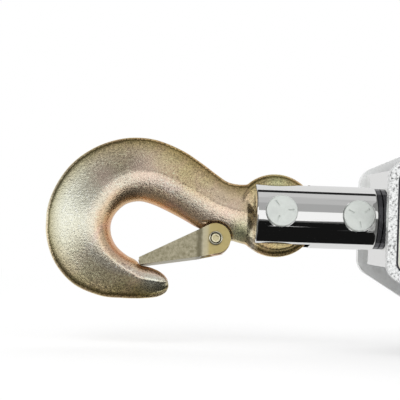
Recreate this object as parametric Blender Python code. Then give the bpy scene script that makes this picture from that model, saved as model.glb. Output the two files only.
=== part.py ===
"""Hand ratchet puller: hook and swivel, winch frame, ratchet drum, wire rope and lever handle.

Metres, +Z up. The line of pull runs along X, with the anchor hook at -X. The frame stands on
the lower edges of its two side plates, and the origin lies at floor height below the middle.
"""

import math

import bmesh
import bpy
from mathutils import Matrix, Vector

# Clearances
SEAT_GAP = 0.0003          # between faces that touch on the real tool
RUN_GAP = 0.0003           # radial running clearance of pins in bores
SIDE_GAP = 0.0008          # beside parts that turn against each other

# Forged hooks
EYE_RADIUS = 0.021
EYE_THICKNESS = 0.0095
HOOK_THICKNESS = 0.017
HOOK_NECK_THICKNESS = 0.0145
LUG_RADIUS = 0.0078
LUG_THICKNESS = 0.0056
HOOK_SHOULDER = -0.0092    # where the thick body has sunk into the flat eye
SHOULDER_RAMP = 0.0054
SHOULDER_SINK = 0.0044     # how much thinner than the eye the body's end is
ANCHOR_PIN_RADIUS = 0.0042
HOOK_PIN_X = 0.0013        # the pin sits this far beyond the middle of the hook's eye
CABLE_EYE_HOLE = 0.0105

# Spring latch in the mouth of each hook
LATCH_SHEET = 0.0013
LATCH_HEAD_RADIUS = 0.0075
LATCH_INNER_HALF = 0.0052  # from the middle to the inside of each cheek
LATCH_POCKET = 0.0011       # relief in the hook round the latch
LATCH_RIVET_RADIUS = 0.0022
LATCH_RIVET_HEAD = 0.0035
LATCH_RIVET_SOCKET = 0.0017
LATCH_SOCKET_DEPTH = 0.0016
LATCH_RIVET_RISE = 0.0011
LATCH_SPRING_WIRE = 0.0009
LATCH_SPRING_RADIUS = 0.0033
LATCH_SPRING_PITCH = 0.0011
LATCH_SPRING_TURNS = 1.25
LATCH_OPEN_DEG = 28.0
LATCH_SEAT_GAP = 0.0003     # under the shut latch's tip
LATCH_SEAT_BEYOND = 0.0012
LATCH_SEAT_LENGTH = 0.0080

# Swivel between the anchor hook and the frame
SWIVEL_ROLL_DEG = 8.0
SHANK_PIN_TURN_DEG = 4.0   # the shank pin's bore against the hook pin's
TUBE_RADIUS = 0.0157
TUBE_BORE = 0.0105
TUBE_START = -0.0108       # from the hook's eye centre, along the pull
TUBE_LENGTH = 0.0599
TUBE_EDGE = 0.0006
SLOT_CLEARANCE = 0.0006
SLOT_RADIUS = 0.0225
PIN_HEAD_RADIUS = 0.0077
PIN_HEAD_HEIGHT = 0.0033
PIN_HEAD_RISE = 0.0015     # of the head's seat and its thickness above the tube
SHANK_PIN_INSET = 0.0098   # from the tube's end
STUD_HEAD_RADIUS = 0.0165
STUD_HEAD_HEIGHT = 0.0080
STUD_HEAD_EDGE = 0.0010
WASHER_THICKNESS = 0.0020
WASHER_RADIUS = 0.0152
THRUST_WASHER = 0.0025

# Winch frame
PLATE_THICKNESS = 0.0050
FRAME_HALF_WIDTH = 0.0380  # to the outer faces of the side plates
AXLE_HEIGHT = 0.0660
FRAME_LEFT = -0.1080       # from the axle
FRAME_LEFT_TOP = 0.0245
FRAME_LEFT_BOTTOM = -0.0260
FRAME_TOP = 0.0420
FRAME_BOSS_END_DEG = 10.0
FRAME_RIGHT = 0.0660
FRAME_SHOULDER = -0.0180
TOP_FLARE_DEG = 24.5
BOTTOM_FLARE_DEG = 31.0
PLATE_CORNER = 0.0045
END_PLATE_THICKNESS = 0.0080
END_PLATE_HALF = 0.0235
END_PLATE_RECESS = 0.0027
END_PLATE_CORNER = 0.0020
TIE_ROD_RADIUS = 0.0050
TIE_ROD_NECK = 0.0035
TIE_ROD_RIGHT_X = 0.0580
TIE_ROD_LEFT_X = -0.0300
TIE_ROD_HEAD = 0.0040
TIE_ROD_HEAD_RADIUS = 0.0075
TIE_ROD_HEAD_TOP = 0.0052
TIE_ROD_Z = -0.0540
STOP_STUD_X = 0.0590
STOP_STUD_RADIUS = 0.0060
STOP_STUD_LENGTH = 0.0055
STOP_STUD_SHANK = 0.0030
STOP_STUD_TAIL = 0.0015
STOP_STUD_TAIL_RADIUS = 0.0045
STOP_STUD_EDGE = 0.0005

# Axle, drum and ratchet wheels
AXLE_RADIUS = 0.0080
AXLE_HEAD_RADIUS = 0.0135
AXLE_HEAD_HEIGHT = 0.0090
AXLE_NUT_HEIGHT = 0.0070
AXLE_WASHER_RADIUS = 0.0150
AXLE_WASHER_THICKNESS = 0.0020
BUSH_RADIUS = 0.0120
RATCHET_TEETH = 12
RATCHET_PHASE_DEG = 6.0
RATCHET_RADIUS = 0.0480
RATCHET_ROOT = 0.0400
RATCHET_THICKNESS = 0.0070
RATCHET_RAMP = 0.86        # the share of each tooth before its flat top
RATCHET_SIDE_ROOM = 0.0022 # between the wheel bolts' heads and the side plates
DRUM_CORE_RADIUS = 0.0272
ROPE_RADIUS = 0.0025
WIND_RADIUS = 0.0300       # to the middle of the outer layer of rope
WIND_PITCH = 0.0055
WHEEL_BOLT_CIRCLE = 0.0195
WHEEL_BOLT_HEAD = 0.0050
WHEEL_BOLT_HEAD_HEIGHT = 0.0030
WHEEL_BOLT_RADIUS = 0.0030
WHEEL_BOLTS = 3

# Rope end
ROPE_NOSE_X = 0.1270       # the middle of the thimble's nose, from the axle
THIMBLE_BEND = 0.0125      # to the middle of the rope round the thimble
THIMBLE_LENGTH = 0.0340
THIMBLE_WALL = 0.0012
FERRULE_LENGTH = 0.0220
FERRULE_WALL = 0.0014
FERRULE_EDGE = 0.0010
FERRULE_END = 0.92         # the radius of its ends, as a share
EYE_SETBACK = 0.0030      # of the loose hook's eye centre beyond the thimble's nose
CABLE_HOOK_LIFT = 0.0010   # the loose hook hangs this far above the floor

# Handle
FORK_THICKNESS = 0.0040
FORK_HEIGHT = 0.0180       # half height of the fork's cheeks, and their radius at the axle
FORK_BEND_START = 0.0760
FORK_BEND_END = 0.1080
FORK_END = 0.1420
FORK_NOSE_HEIGHT = 0.0130
FORK_NOSE_CORNER = 0.0040
FORK_SHOULDER_CORNER = 0.0200
FORK_EAR = 0.0100
HANDLE_TUBE_RADIUS = 0.0125
HANDLE_TUBE_WALL = 0.0022
HANDLE_TUBE_START = 0.1100
HANDLE_LENGTH = 0.4600
GRIP_RADIUS = 0.0160
GRIP_LENGTH = 0.1300
GRIP_END_CAP = 0.0040
GRIP_EDGE = 0.0030
GRIP_COLLAR = 0.0080
GRIP_COLLAR_RISE = 0.0020
HANDLE_BOLT_RADIUS = 0.0035
HANDLE_BOLT_HEAD = 0.0060
HANDLE_BOLT_HEAD_HEIGHT = 0.0040
HANDLE_BOLT_X = 0.1170
HANDLE_BOLT_SPACING = 0.0150

# Pawls
PAWL_SPRING_ROOM = 0.0068   # between the pawls and the side plates' inner faces
PAWL_PIN_RADIUS = 0.0040
PAWL_EYE_RADIUS = 0.0085
PAWL_CLEARANCE = 0.0013     # between an engaged pawl's nose and the teeth
PAWL_NOSE_RADIUS = 0.0500
DRIVE_PAWL_DEG = 16.0      # direction of the drive pawl's pin, above the handle
DRIVE_TOOTH = -1           # the tooth faces that the two pawls meet, counted from the phase
STOP_TOOTH = 4
DRIVE_PAWL_PIN_RADIUS = 0.0680
STOP_PAWL_X = -0.0660
STOP_PAWL_Z = 0.0050
PAWL_OPEN_DEG = 12.0
PAWL_SPACER_RADIUS = 0.0050
PAWL_PIN_HEAD_RADIUS = 0.0060
PAWL_PIN_HEAD_HEIGHT = 0.0025
THUMB_ROOT_X = 0.0030       # the stop pawl's thumb tab, from its pin
THUMB_ROOT_Z = 0.0120
THUMB_TIP_X = -0.0140
THUMB_TIP_Z = 0.0300
THUMB_EDGE_X = -0.0090
THUMB_EDGE_Z = 0.0330
PAWL_SPRING_WIRE = 0.0012
PAWL_SPRING_RADIUS = 0.0060
PAWL_SPRING_PITCH = 0.0016
PAWL_SPRING_CURLS = 3

WIND_POINTS = 24           # points of the wound rope in each turn
SPRING_POINTS = 10         # points of a spring in each curl
FREE_ROPE_POINTS = 12
ROUND = 24                 # sides of a large round piece
SMALL_ROUND = 12           # sides of a pin or a small head
SIDES = ((-1, "front"), (1, "rear"))

# Stations along each forged hook, from its point round the bowl to the eye, in the hook's
# plane with the eye at (0, 0): outer edge, inner edge, thickness and place of the ridge.
HOOK_STATIONS = (
    ((-0.0522, -0.0372), (-0.0530, -0.0338), 0.0070, 0.45),
    ((-0.0536, -0.0402), (-0.0546, -0.0318), 0.0100, 0.45),
    ((-0.0572, -0.0423), (-0.0574, -0.0298), 0.0120, 0.45),
    ((-0.0622, -0.0432), (-0.0618, -0.0281), 0.0135, 0.44),
    ((-0.0680, -0.0436), (-0.0660, -0.0272), 0.0145, 0.42),
    ((-0.0745, -0.0436), (-0.0692, -0.0246), 0.0155, 0.36),
    ((-0.0857, -0.0428), (-0.0736, -0.0224), 0.0165, 0.28),
    ((-0.0994, -0.0372), (-0.0784, -0.0184), 0.0170, 0.22),
    ((-0.1094, -0.0258), (-0.0811, -0.0136), 0.0170, 0.20),
    ((-0.1138, -0.0106), (-0.0819, -0.0086), 0.0170, 0.20),
    ((-0.1122, 0.0050), (-0.0809, -0.0040), 0.0170, 0.22),
    ((-0.1042, 0.0202), (-0.0782, 0.0001), 0.0170, 0.27),
    ((-0.0920, 0.0306), (-0.0739, 0.0035), 0.0170, 0.34),
    ((-0.0772, 0.0362), (-0.0677, 0.0048), 0.0170, 0.40),
    ((-0.0622, 0.0364), (-0.0611, 0.0033), 0.0170, 0.44),
    ((-0.0480, 0.0315), (-0.0540, 0.0003), 0.0170, 0.46),
    ((-0.0378, 0.0253), (-0.0464, -0.0034), 0.0168, 0.48),
    ((-0.0291, 0.0191), (-0.0383, -0.0077), 0.0160, 0.50),
    ((-0.0240, 0.0160), (-0.0295, -0.0108), 0.0152, 0.50),
    ((-0.0190, 0.0150), (-0.0200, -0.0138), 0.0148, 0.50),
)
HOOK_LEFT = -0.1138        # the outer edge's furthest point
HOOK_SHOULDER_TOP = 0.0172
HOOK_SHOULDER_BOTTOM = -0.0172
HOOK_RIM = 0.36            # half thickness near the outer rim, as a share of the ridge's
HOOK_ROUNDNESS = 2.6
HOOK_NECK_RIDGE = 0.5
LATCH_RIVET_AT = (-0.0301, -0.0133)
LATCH_TIP_TOP = (-0.0675, -0.0239)
LATCH_TIP_BOTTOM = (-0.0668, -0.0274)
LATCH_BEND = (-0.0381, -0.0227)
LATCH_HEEL = (-0.0253, -0.0197)

# Places that follow from the sizes above
AXLE_X = -(FRAME_LEFT + HOOK_LEFT + HANDLE_LENGTH + END_PLATE_RECESS - WASHER_THICKNESS
           - 2 * SEAT_GAP - TUBE_START - TUBE_LENGTH) / 2
END_PLATE_X = FRAME_LEFT + END_PLATE_RECESS
EYE_X = END_PLATE_X - WASHER_THICKNESS - 2 * SEAT_GAP - TUBE_START - TUBE_LENGTH
PLATE_INNER = FRAME_HALF_WIDTH - PLATE_THICKNESS
PIN_SEAT = TUBE_RADIUS + PIN_HEAD_RISE - PIN_HEAD_HEIGHT
SHANK_PIN_X = TUBE_START + TUBE_LENGTH - SHANK_PIN_INSET
PAWL_WIDTH_HALF = PLATE_INNER - PAWL_SPRING_ROOM
FORK_INNER = FRAME_HALF_WIDTH + SIDE_GAP
STOP_STUD_Z = -FORK_HEIGHT - SEAT_GAP - STOP_STUD_RADIUS
TOOTH_DEG = 360 / RATCHET_TEETH
RATCHET_OUTER = PLATE_INNER - RATCHET_SIDE_ROOM - WHEEL_BOLT_HEAD_HEIGHT - SEAT_GAP
RATCHET_INNER = RATCHET_OUTER - RATCHET_THICKNESS
WIND_ROOM = 2 * (RATCHET_INNER - ROPE_RADIUS - SIDE_GAP)
WIND_TURNS = int(WIND_ROOM / WIND_PITCH) - 1    # one turn's width is left free
HANDLE_BOLTS_X = (HANDLE_BOLT_X, HANDLE_BOLT_X + HANDLE_BOLT_SPACING)
DRIVE_PIN_X = DRIVE_PAWL_PIN_RADIUS * math.cos(math.radians(DRIVE_PAWL_DEG))
DRIVE_PIN_Z = DRIVE_PAWL_PIN_RADIUS * math.sin(math.radians(DRIVE_PAWL_DEG))
ROPE_NOSE_Z = -AXLE_HEIGHT + CABLE_HOOK_LIFT + THIMBLE_BEND + ROPE_RADIUS
WIND_START_Y = -RATCHET_INNER + ROPE_RADIUS + SIDE_GAP
ROPE_Y = WIND_START_Y + WIND_PITCH * WIND_TURNS
ROPE_SPACE = ROPE_RADIUS + SEAT_GAP


# ---- helpers -------------------------------------------------------------------------------

def clear_scene():
    """Remove the objects of the scene, such as the start-up cube."""
    for thing in list(bpy.data.objects):
        bpy.data.objects.remove(thing, do_unlink=True)


def finish(name, colour, roughness, metallic):
    """A plain Principled material."""
    material = bpy.data.materials.new(name)
    material.use_nodes = True
    shader = material.node_tree.nodes["Principled BSDF"]
    shader.inputs["Base Color"].default_value = (*colour, 1.0)
    shader.inputs["Roughness"].default_value = roughness
    shader.inputs["Metallic"].default_value = metallic
    return material


def empty(name, parent=None, at=(0, 0, 0), turn=(0, 0, 0)):
    """A frame of reference that pieces are placed in."""
    thing = bpy.data.objects.new(name, None)
    bpy.context.scene.collection.objects.link(thing)
    thing.parent = parent
    thing.location = at
    thing.rotation_euler = turn
    return thing


def link_mesh(name, bm, colour, parent, at=(0, 0, 0), turn=(0, 0, 0)):
    """Make an object of a bmesh, with its own material and round edges shaded smooth."""
    bmesh.ops.recalc_face_normals(bm, faces=bm.faces[:])
    mesh = bpy.data.meshes.new(name)
    bm.to_mesh(mesh)
    bm.free()
    mesh.shade_smooth()
    mesh.set_sharp_from_angle(angle=math.radians(35))
    thing = bpy.data.objects.new(name, mesh)
    bpy.context.scene.collection.objects.link(thing)
    mesh.materials.append(finish(name, *colour))
    thing.parent = parent
    thing.location = at
    thing.rotation_euler = turn
    return thing


def hide_cutter(thing):
    """Show a cutter as wire only, so it is no piece of the tool."""
    thing.hide_render = True
    thing.display_type = "WIRE"


def boolean(thing, tool, operation="DIFFERENCE"):
    """Cut a piece with a tool object, or join the tool to it."""
    hide_cutter(tool)
    step = thing.modifiers.new(tool.name, "BOOLEAN")
    step.operation = operation
    step.solver = "EXACT"
    step.object = tool


def bar(bm, start, end, radius, sides=SMALL_ROUND):
    """Add a round bar between two points."""
    start = Vector(start)
    along = Vector(end) - start
    turn = along.to_track_quat("Z", "Y").to_matrix().to_4x4()
    place = Matrix.Translation(start + along / 2) @ turn
    bmesh.ops.create_cone(bm, cap_ends=True, segments=sides, radius1=radius, radius2=radius,
                          depth=along.length, matrix=place)


def bar_y(bm, x, z, radius, low, high, sides=SMALL_ROUND):
    """Add a round bar across the tool."""
    bar(bm, (x, low, z), (x, high, z), radius, sides)


def turned(bm, profile, axis="X", sides=ROUND):
    """Add a turned piece: a closed profile of (distance along the axis, radius) points."""
    directions = {"X": (1, 0, 0), "Y": (0, 1, 0)}
    points = {"X": lambda a, r: (a, 0, r), "Y": lambda a, r: (0, a, r)}[axis]
    verts = [bm.verts.new(points(a, r)) for a, r in profile]
    edges = [bm.edges.new((verts[i], verts[(i + 1) % len(verts)])) for i in range(len(verts))]
    bmesh.ops.spin(bm, geom=verts + edges, cent=(0, 0, 0), axis=directions[axis],
                   angle=math.tau, steps=sides, use_merge=True)
    bmesh.ops.remove_doubles(bm, verts=bm.verts[:], dist=1e-6)


def ring_profile(low, high, inner, outer, edge=0.0):
    """The profile of a ring or washer, with an optional broken outer edge."""
    if edge == 0:
        return [(low, inner), (high, inner), (high, outer), (low, outer)]
    return [(low, inner), (high, inner), (high, outer - edge), (high - edge, outer),
            (low + edge, outer), (low, outer - edge)]


def slab(bm, outline, low, high):
    """Add a plate: an outline of (x, z) points, from y = low to y = high."""
    verts = [bm.verts.new((x, low, z)) for x, z in outline]
    face = bm.faces.new(verts)
    extruded = bmesh.ops.extrude_face_region(bm, geom=[face])
    top = [v for v in extruded["geom"] if isinstance(v, bmesh.types.BMVert)]
    bmesh.ops.translate(bm, verts=top, vec=(0, high - low, 0))


def arc(x, z, radius, start_deg, end_deg, steps):
    """Points on an arc in the XZ plane."""
    turns = [start_deg + (end_deg - start_deg) * i / steps for i in range(steps + 1)]
    return [(x + radius * math.cos(math.radians(t)), z + radius * math.sin(math.radians(t)))
            for t in turns]


def rounded(corners, steps=5):
    """An outline whose corners, given as (x, z, radius), are rounded."""
    outline = []
    for i, (x, z, radius) in enumerate(corners):
        here = Vector((x, z))
        if radius == 0:
            outline.append((x, z))
            continue
        to_last = (Vector(corners[i - 1][:2]) - here).normalized()
        to_next = (Vector(corners[(i + 1) % len(corners)][:2]) - here).normalized()
        half = to_last.angle(to_next) / 2
        middle = here + (to_last + to_next).normalized() * radius / math.sin(half)
        first = here + to_last * radius / math.tan(half) - middle
        last = here + to_next * radius / math.tan(half) - middle
        sweep = first.angle_signed(last)
        for k in range(steps + 1):
            spoke = first.copy()
            spoke.rotate(Matrix.Rotation(-sweep * k / steps, 2))
            outline.append(tuple(middle + spoke))
    return outline


def cut_plate(outline, low, high, name, colour, parent, holes=()):
    """A plate with round holes, each given as (x, z, radius)."""
    bm = bmesh.new()
    slab(bm, outline, low, high)
    plate = link_mesh(name, bm, colour, parent)
    for i, (x, z, radius) in enumerate(holes):
        tool = bmesh.new()
        bar_y(tool, x, z, radius, low - radius, high + radius, ROUND)
        boolean(plate, link_mesh(f"{name}_hole_{i + 1}", tool, colour, parent))
    return plate


def wound_tube(name, points, radius, colour, parent, sides_level=1):
    """One unbroken tube along a list of points."""
    curve = bpy.data.curves.new(name, "CURVE")
    curve.dimensions = "3D"
    spline = curve.splines.new("POLY")
    spline.points.add(len(points) - 1)
    for point, place in zip(spline.points, points):
        point.co = (*place, 1)
    curve.bevel_depth = radius
    curve.bevel_resolution = sides_level
    curve.use_fill_caps = True
    curve.materials.append(finish(name, *colour))
    thing = bpy.data.objects.new(name, curve)
    bpy.context.scene.collection.objects.link(thing)
    thing.parent = parent
    return thing


def helix_y(radius, pitch, turns, per_turn, low, start_deg=0.0):
    """Points of a coil round the Y axis, from y = low."""
    count = round(turns * per_turn)
    points = []
    for i in range(count + 1):
        turn = i / per_turn
        angle = math.radians(start_deg) + math.tau * turn
        points.append((radius * math.cos(angle), low + pitch * turn, radius * math.sin(angle)))
    return points


def least_gap(points, radius, per_turn):
    """The least gap between the turns of a coil."""
    least = math.inf
    for i, first in enumerate(points):
        for second in points[i + per_turn // 2:]:
            least = min(least, math.dist(first, second))
    return least - 2 * radius


# Finishes: colour, roughness, metallic
GOLD_ZINC = ((0.55, 0.43, 0.21), 0.42, 0.9)
LATCH_ZINC = ((0.66, 0.56, 0.30), 0.38, 0.9)
CHROME = ((0.78, 0.79, 0.80), 0.10, 1.0)
BRIGHT_STEEL = ((0.72, 0.73, 0.74), 0.25, 1.0)
FRAME_ZINC = ((0.62, 0.63, 0.64), 0.35, 0.9)
CAST_STEEL = ((0.30, 0.31, 0.32), 0.5, 0.8)
WIRE_ROPE = ((0.50, 0.51, 0.52), 0.35, 0.9)
SPRING_STEEL = ((0.45, 0.45, 0.46), 0.35, 0.9)
BLACK_GRIP = ((0.03, 0.03, 0.03), 0.6, 0.0)
BRONZE = ((0.60, 0.42, 0.22), 0.35, 0.9)


# ---- forged hooks --------------------------------------------------------------------------

def smooth_between(a, b, c, d, t):
    """A point between b and c on a Catmull-Rom curve."""
    return tuple(0.5 * (2 * q + (r - p) * t + (2 * p - 5 * q + 4 * r - s) * t * t
                        + (3 * q - p - 3 * r + s) * t ** 3)
                 for p, q, r, s in zip(a, b, c, d))


def hook_stations(substeps=2):
    """The hook's stations with smooth ones in between, then the shoulder before the eye."""
    flat = [(*outer, *inner, thick, ridge) for outer, inner, thick, ridge in HOOK_STATIONS]
    flat.append((HOOK_SHOULDER - SHOULDER_RAMP, HOOK_SHOULDER_TOP,
                 HOOK_SHOULDER - SHOULDER_RAMP, HOOK_SHOULDER_BOTTOM, HOOK_NECK_THICKNESS,
                 HOOK_NECK_RIDGE))
    stations = []
    for i in range(len(flat) - 1):
        ends = (flat[max(i - 1, 0)], flat[i], flat[i + 1], flat[min(i + 2, len(flat) - 1)])
        for k in range(substeps):
            stations.append(smooth_between(*ends, k / substeps))
    stations.append(flat[-1])
    stations.append((HOOK_SHOULDER, HOOK_SHOULDER_TOP, HOOK_SHOULDER, HOOK_SHOULDER_BOTTOM,
                     EYE_THICKNESS - SHOULDER_SINK, HOOK_NECK_RIDGE))
    return stations


def section(ridge):
    """Half a teardrop section: (share of the way from inner to outer edge, half thickness)."""
    points = []
    for t in (0.10, 0.40, 1.0):
        points.append((ridge * t, (1 - (1 - t) ** HOOK_ROUNDNESS) ** (1 / HOOK_ROUNDNESS)))
    for t in (0.35, 0.65, 0.88, 0.97):
        fall = 1 - (1 - HOOK_RIM) * t ** 1.5
        points.append((ridge + (1 - ridge) * t, fall * math.sqrt(1 - t ** 12)))
    return points


def hook_ring(bm, station):
    """One closed ring of the hook's skin."""
    outer_u, outer_v, inner_u, inner_v, thick, ridge = station
    half = section(ridge)
    trip = [(0, 0)] + half + [(1, 0)] + [(s, -h) for s, h in reversed(half)]
    ring = []
    for share, height in trip:
        u = inner_u + share * (outer_u - inner_u)
        v = inner_v + share * (outer_v - inner_v)
        ring.append(bm.verts.new((u, height * thick / 2, v)))
    return ring


def forged_hook(name, parent, hole_x, eye_hole):
    """A hook with a teardrop section, a lug for its latch and a flat eye."""
    bm = bmesh.new()
    rings = [hook_ring(bm, station) for station in hook_stations()]
    for last, following in zip(rings, rings[1:]):
        for i in range(len(last)):
            k = (i + 1) % len(last)
            bm.faces.new((last[i], last[k], following[k], following[i]))
    bm.faces.new(rings[0])
    bm.faces.new(rings[-1])
    hook = link_mesh(name, bm, GOLD_ZINC, parent)
    cut_latch_pocket(hook, name, parent)
    lug_and_eye = {
        "eye": (0, 0, EYE_RADIUS, EYE_THICKNESS / 2, "UNION"),
        "lug": (*LATCH_RIVET_AT, LUG_RADIUS, LUG_THICKNESS / 2, "UNION"),
        "eye_hole": (hole_x, 0, eye_hole, HOOK_THICKNESS, "DIFFERENCE"),
        "rivet_hole": (*LATCH_RIVET_AT, LATCH_RIVET_RADIUS + RUN_GAP, HOOK_THICKNESS,
                       "DIFFERENCE"),
    }
    for label, (x, z, radius, half, operation) in lug_and_eye.items():
        tool = bmesh.new()
        sides = SMALL_ROUND if radius < LUG_RADIUS else ROUND
        bar_y(tool, x, z, radius, -half, half, sides)
        boolean(hook, link_mesh(f"{name}_{label}", tool, GOLD_ZINC, parent), operation)
    return hook


def cut_latch_pocket(hook, name, parent):
    """Thin the hook beside its lug, where the latch's cheeks lie and swing."""
    head_floor = LUG_THICKNESS / 2 - SEAT_GAP
    arm_floor = head_floor - SEAT_GAP
    for side in (-1, 1):
        tool = bmesh.new()
        low, high = sorted((side * head_floor, side * HOOK_THICKNESS))
        bar_y(tool, *LATCH_RIVET_AT, LATCH_HEAD_RADIUS + LATCH_POCKET, low, high, ROUND)
        boolean(hook, link_mesh(f"{name}_head_pocket_{side + 2}", tool, GOLD_ZINC, parent))
        tool = bmesh.new()
        low, high = sorted((side * arm_floor, side * HOOK_THICKNESS * 1.5))
        slab(tool, latch_outline(LATCH_POCKET), low, high)
        turn = Matrix.Rotation(math.radians(LATCH_OPEN_DEG), 3, "Y")
        pivot = Vector((LATCH_RIVET_AT[0], 0, LATCH_RIVET_AT[1]))
        bmesh.ops.rotate(tool, verts=tool.verts[:], cent=pivot, matrix=turn)
        boolean(hook, link_mesh(f"{name}_arm_pocket_{side + 2}", tool, GOLD_ZINC, parent))
    tool = bmesh.new()
    slab(tool, latch_tip_seat(), -HOOK_THICKNESS, HOOK_THICKNESS)
    boolean(hook, link_mesh(f"{name}_tip_seat", tool, GOLD_ZINC, parent))


# ---- spring latches ------------------------------------------------------------------------

def latch_outline(grow=0.0):
    """The latch's side view: a round head and a tapering arm."""
    x, z = LATCH_RIVET_AT
    radius = LATCH_HEAD_RADIUS + grow
    arm_deg = math.degrees(math.atan2(LATCH_TIP_TOP[1] - z, LATCH_TIP_TOP[0] - x)) % 360
    head = arc(x, z, radius, -62, arm_deg - 360 + 278, 18)
    top = (LATCH_TIP_TOP[0] - grow, LATCH_TIP_TOP[1] + grow)
    bottom = (LATCH_TIP_BOTTOM[0] - grow, LATCH_TIP_BOTTOM[1] - grow)
    bend = (LATCH_BEND[0], LATCH_BEND[1] - grow)
    heel = (LATCH_HEEL[0], LATCH_HEEL[1] - grow)
    return head + [top, bottom, bend, heel]


def latch_tip_seat():
    """The flat in the hook's point that the shut latch's tip rests on."""
    bend, bottom = Vector(LATCH_BEND), Vector(LATCH_TIP_BOTTOM)
    along = (bottom - bend).normalized()
    out = Vector((-along.y, along.x))
    low = [bottom + along * LATCH_SEAT_BEYOND + out * LATCH_SEAT_GAP,
           bottom - along * LATCH_SEAT_LENGTH + out * LATCH_SEAT_GAP]
    return [tuple(point) for point in low + [low[1] - out * LATCH_HEAD_RADIUS,
                                             low[0] - out * LATCH_HEAD_RADIUS]]


def latch(name, parent):
    """A latch of folded sheet: two cheeks and a web along the lower edge of its arm."""
    outer = LATCH_INNER_HALF + LATCH_SHEET
    bm = bmesh.new()
    slab(bm, latch_outline(), -outer, outer)
    thing = link_mesh(name, bm, LATCH_ZINC, parent)
    tool = bmesh.new()
    x, z = LATCH_RIVET_AT
    far = LATCH_HEAD_RADIUS * 3
    inside = [(LATCH_TIP_BOTTOM[0] - far, LATCH_TIP_BOTTOM[1] + LATCH_SHEET),
              (LATCH_TIP_BOTTOM[0], LATCH_TIP_BOTTOM[1] + LATCH_SHEET),
              (LATCH_BEND[0] + LATCH_SHEET, LATCH_BEND[1] + LATCH_SHEET),
              (LATCH_BEND[0] + LATCH_SHEET, LATCH_BEND[1] - far), (x + far, z - far),
              (x + far, z + far), (LATCH_TIP_BOTTOM[0] - far, z + far)]
    slab(tool, inside, -LATCH_INNER_HALF, LATCH_INNER_HALF)
    boolean(thing, link_mesh(f"{name}_inside", tool, LATCH_ZINC, parent))
    hole = bmesh.new()
    bar_y(hole, x, z, LATCH_RIVET_RADIUS + RUN_GAP, -far, far)
    boolean(thing, link_mesh(f"{name}_rivet_hole", hole, LATCH_ZINC, parent))
    return thing


def latch_rivet(name, parent):
    """A rivet with a six-sided socket in each flared head."""
    seat = LATCH_INNER_HALF + LATCH_SHEET + SEAT_GAP
    top = seat + LATCH_RIVET_RISE
    edge = LATCH_RIVET_RISE / 2
    bm = bmesh.new()
    turned(bm, [(-top, 0), (top, 0), (top, LATCH_RIVET_HEAD - edge),
                (top - edge, LATCH_RIVET_HEAD), (seat, LATCH_RIVET_HEAD),
                (seat, LATCH_RIVET_RADIUS), (-seat, LATCH_RIVET_RADIUS),
                (-seat, LATCH_RIVET_HEAD), (edge - top, LATCH_RIVET_HEAD),
                (-top, LATCH_RIVET_HEAD - edge)], "Y", SMALL_ROUND)
    x, z = LATCH_RIVET_AT
    rivet = link_mesh(name, bm, LATCH_ZINC, parent, at=(x, 0, z))
    for side in (-1, 1):
        tool = bmesh.new()
        low, high = sorted((side * (top - LATCH_SOCKET_DEPTH), side * top * 2))
        bar_y(tool, x, z, LATCH_RIVET_SOCKET, low, high, 6)
        boolean(rivet, link_mesh(f"{name}_socket_{side + 2}", tool, LATCH_ZINC, parent))
    return rivet


def latch_spring(name, parent):
    """A short torsion coil round the rivet, between the lug and the front cheek."""
    middle = -(LUG_THICKNESS / 2 + LATCH_INNER_HALF) / 2
    low = middle - LATCH_SPRING_PITCH * LATCH_SPRING_TURNS / 2
    coil = helix_y(LATCH_SPRING_RADIUS, LATCH_SPRING_PITCH, LATCH_SPRING_TURNS, SPRING_POINTS,
                   low)
    x, z = LATCH_RIVET_AT
    points = [(x + px, py, z + pz) for px, py, pz in coil]
    return wound_tube(name, points, LATCH_SPRING_WIRE / 2, SPRING_STEEL, parent)


def hook_with_latch(prefix, parent, hole_x, eye_hole):
    """A hook with its latch, rivet and spring."""
    forged_hook(f"{prefix}_hook", parent, hole_x, eye_hole)
    latch(f"{prefix}_latch", parent)
    latch_rivet(f"{prefix}_latch_rivet", parent)
    latch_spring(f"{prefix}_latch_spring", parent)


# ---- swivel --------------------------------------------------------------------------------

def riveted_pin(name, parent, x, turn_deg):
    """A pin across the swivel tube with a flat round head at each end."""
    shank = ANCHOR_PIN_RADIUS
    seat = PIN_SEAT + SEAT_GAP
    top = seat + PIN_HEAD_HEIGHT
    edge = PIN_HEAD_HEIGHT / 8
    bm = bmesh.new()
    turned(bm, [(-top, 0), (top, 0), (top, PIN_HEAD_RADIUS - edge),
                (top - edge, PIN_HEAD_RADIUS), (seat, PIN_HEAD_RADIUS), (seat, shank),
                (-seat, shank), (-seat, PIN_HEAD_RADIUS), (edge - top, PIN_HEAD_RADIUS),
                (-top, PIN_HEAD_RADIUS - edge)], "Y", ROUND)
    return link_mesh(name, bm, CHROME, parent, at=(x, 0, 0), turn=(math.radians(turn_deg), 0, 0))


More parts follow.
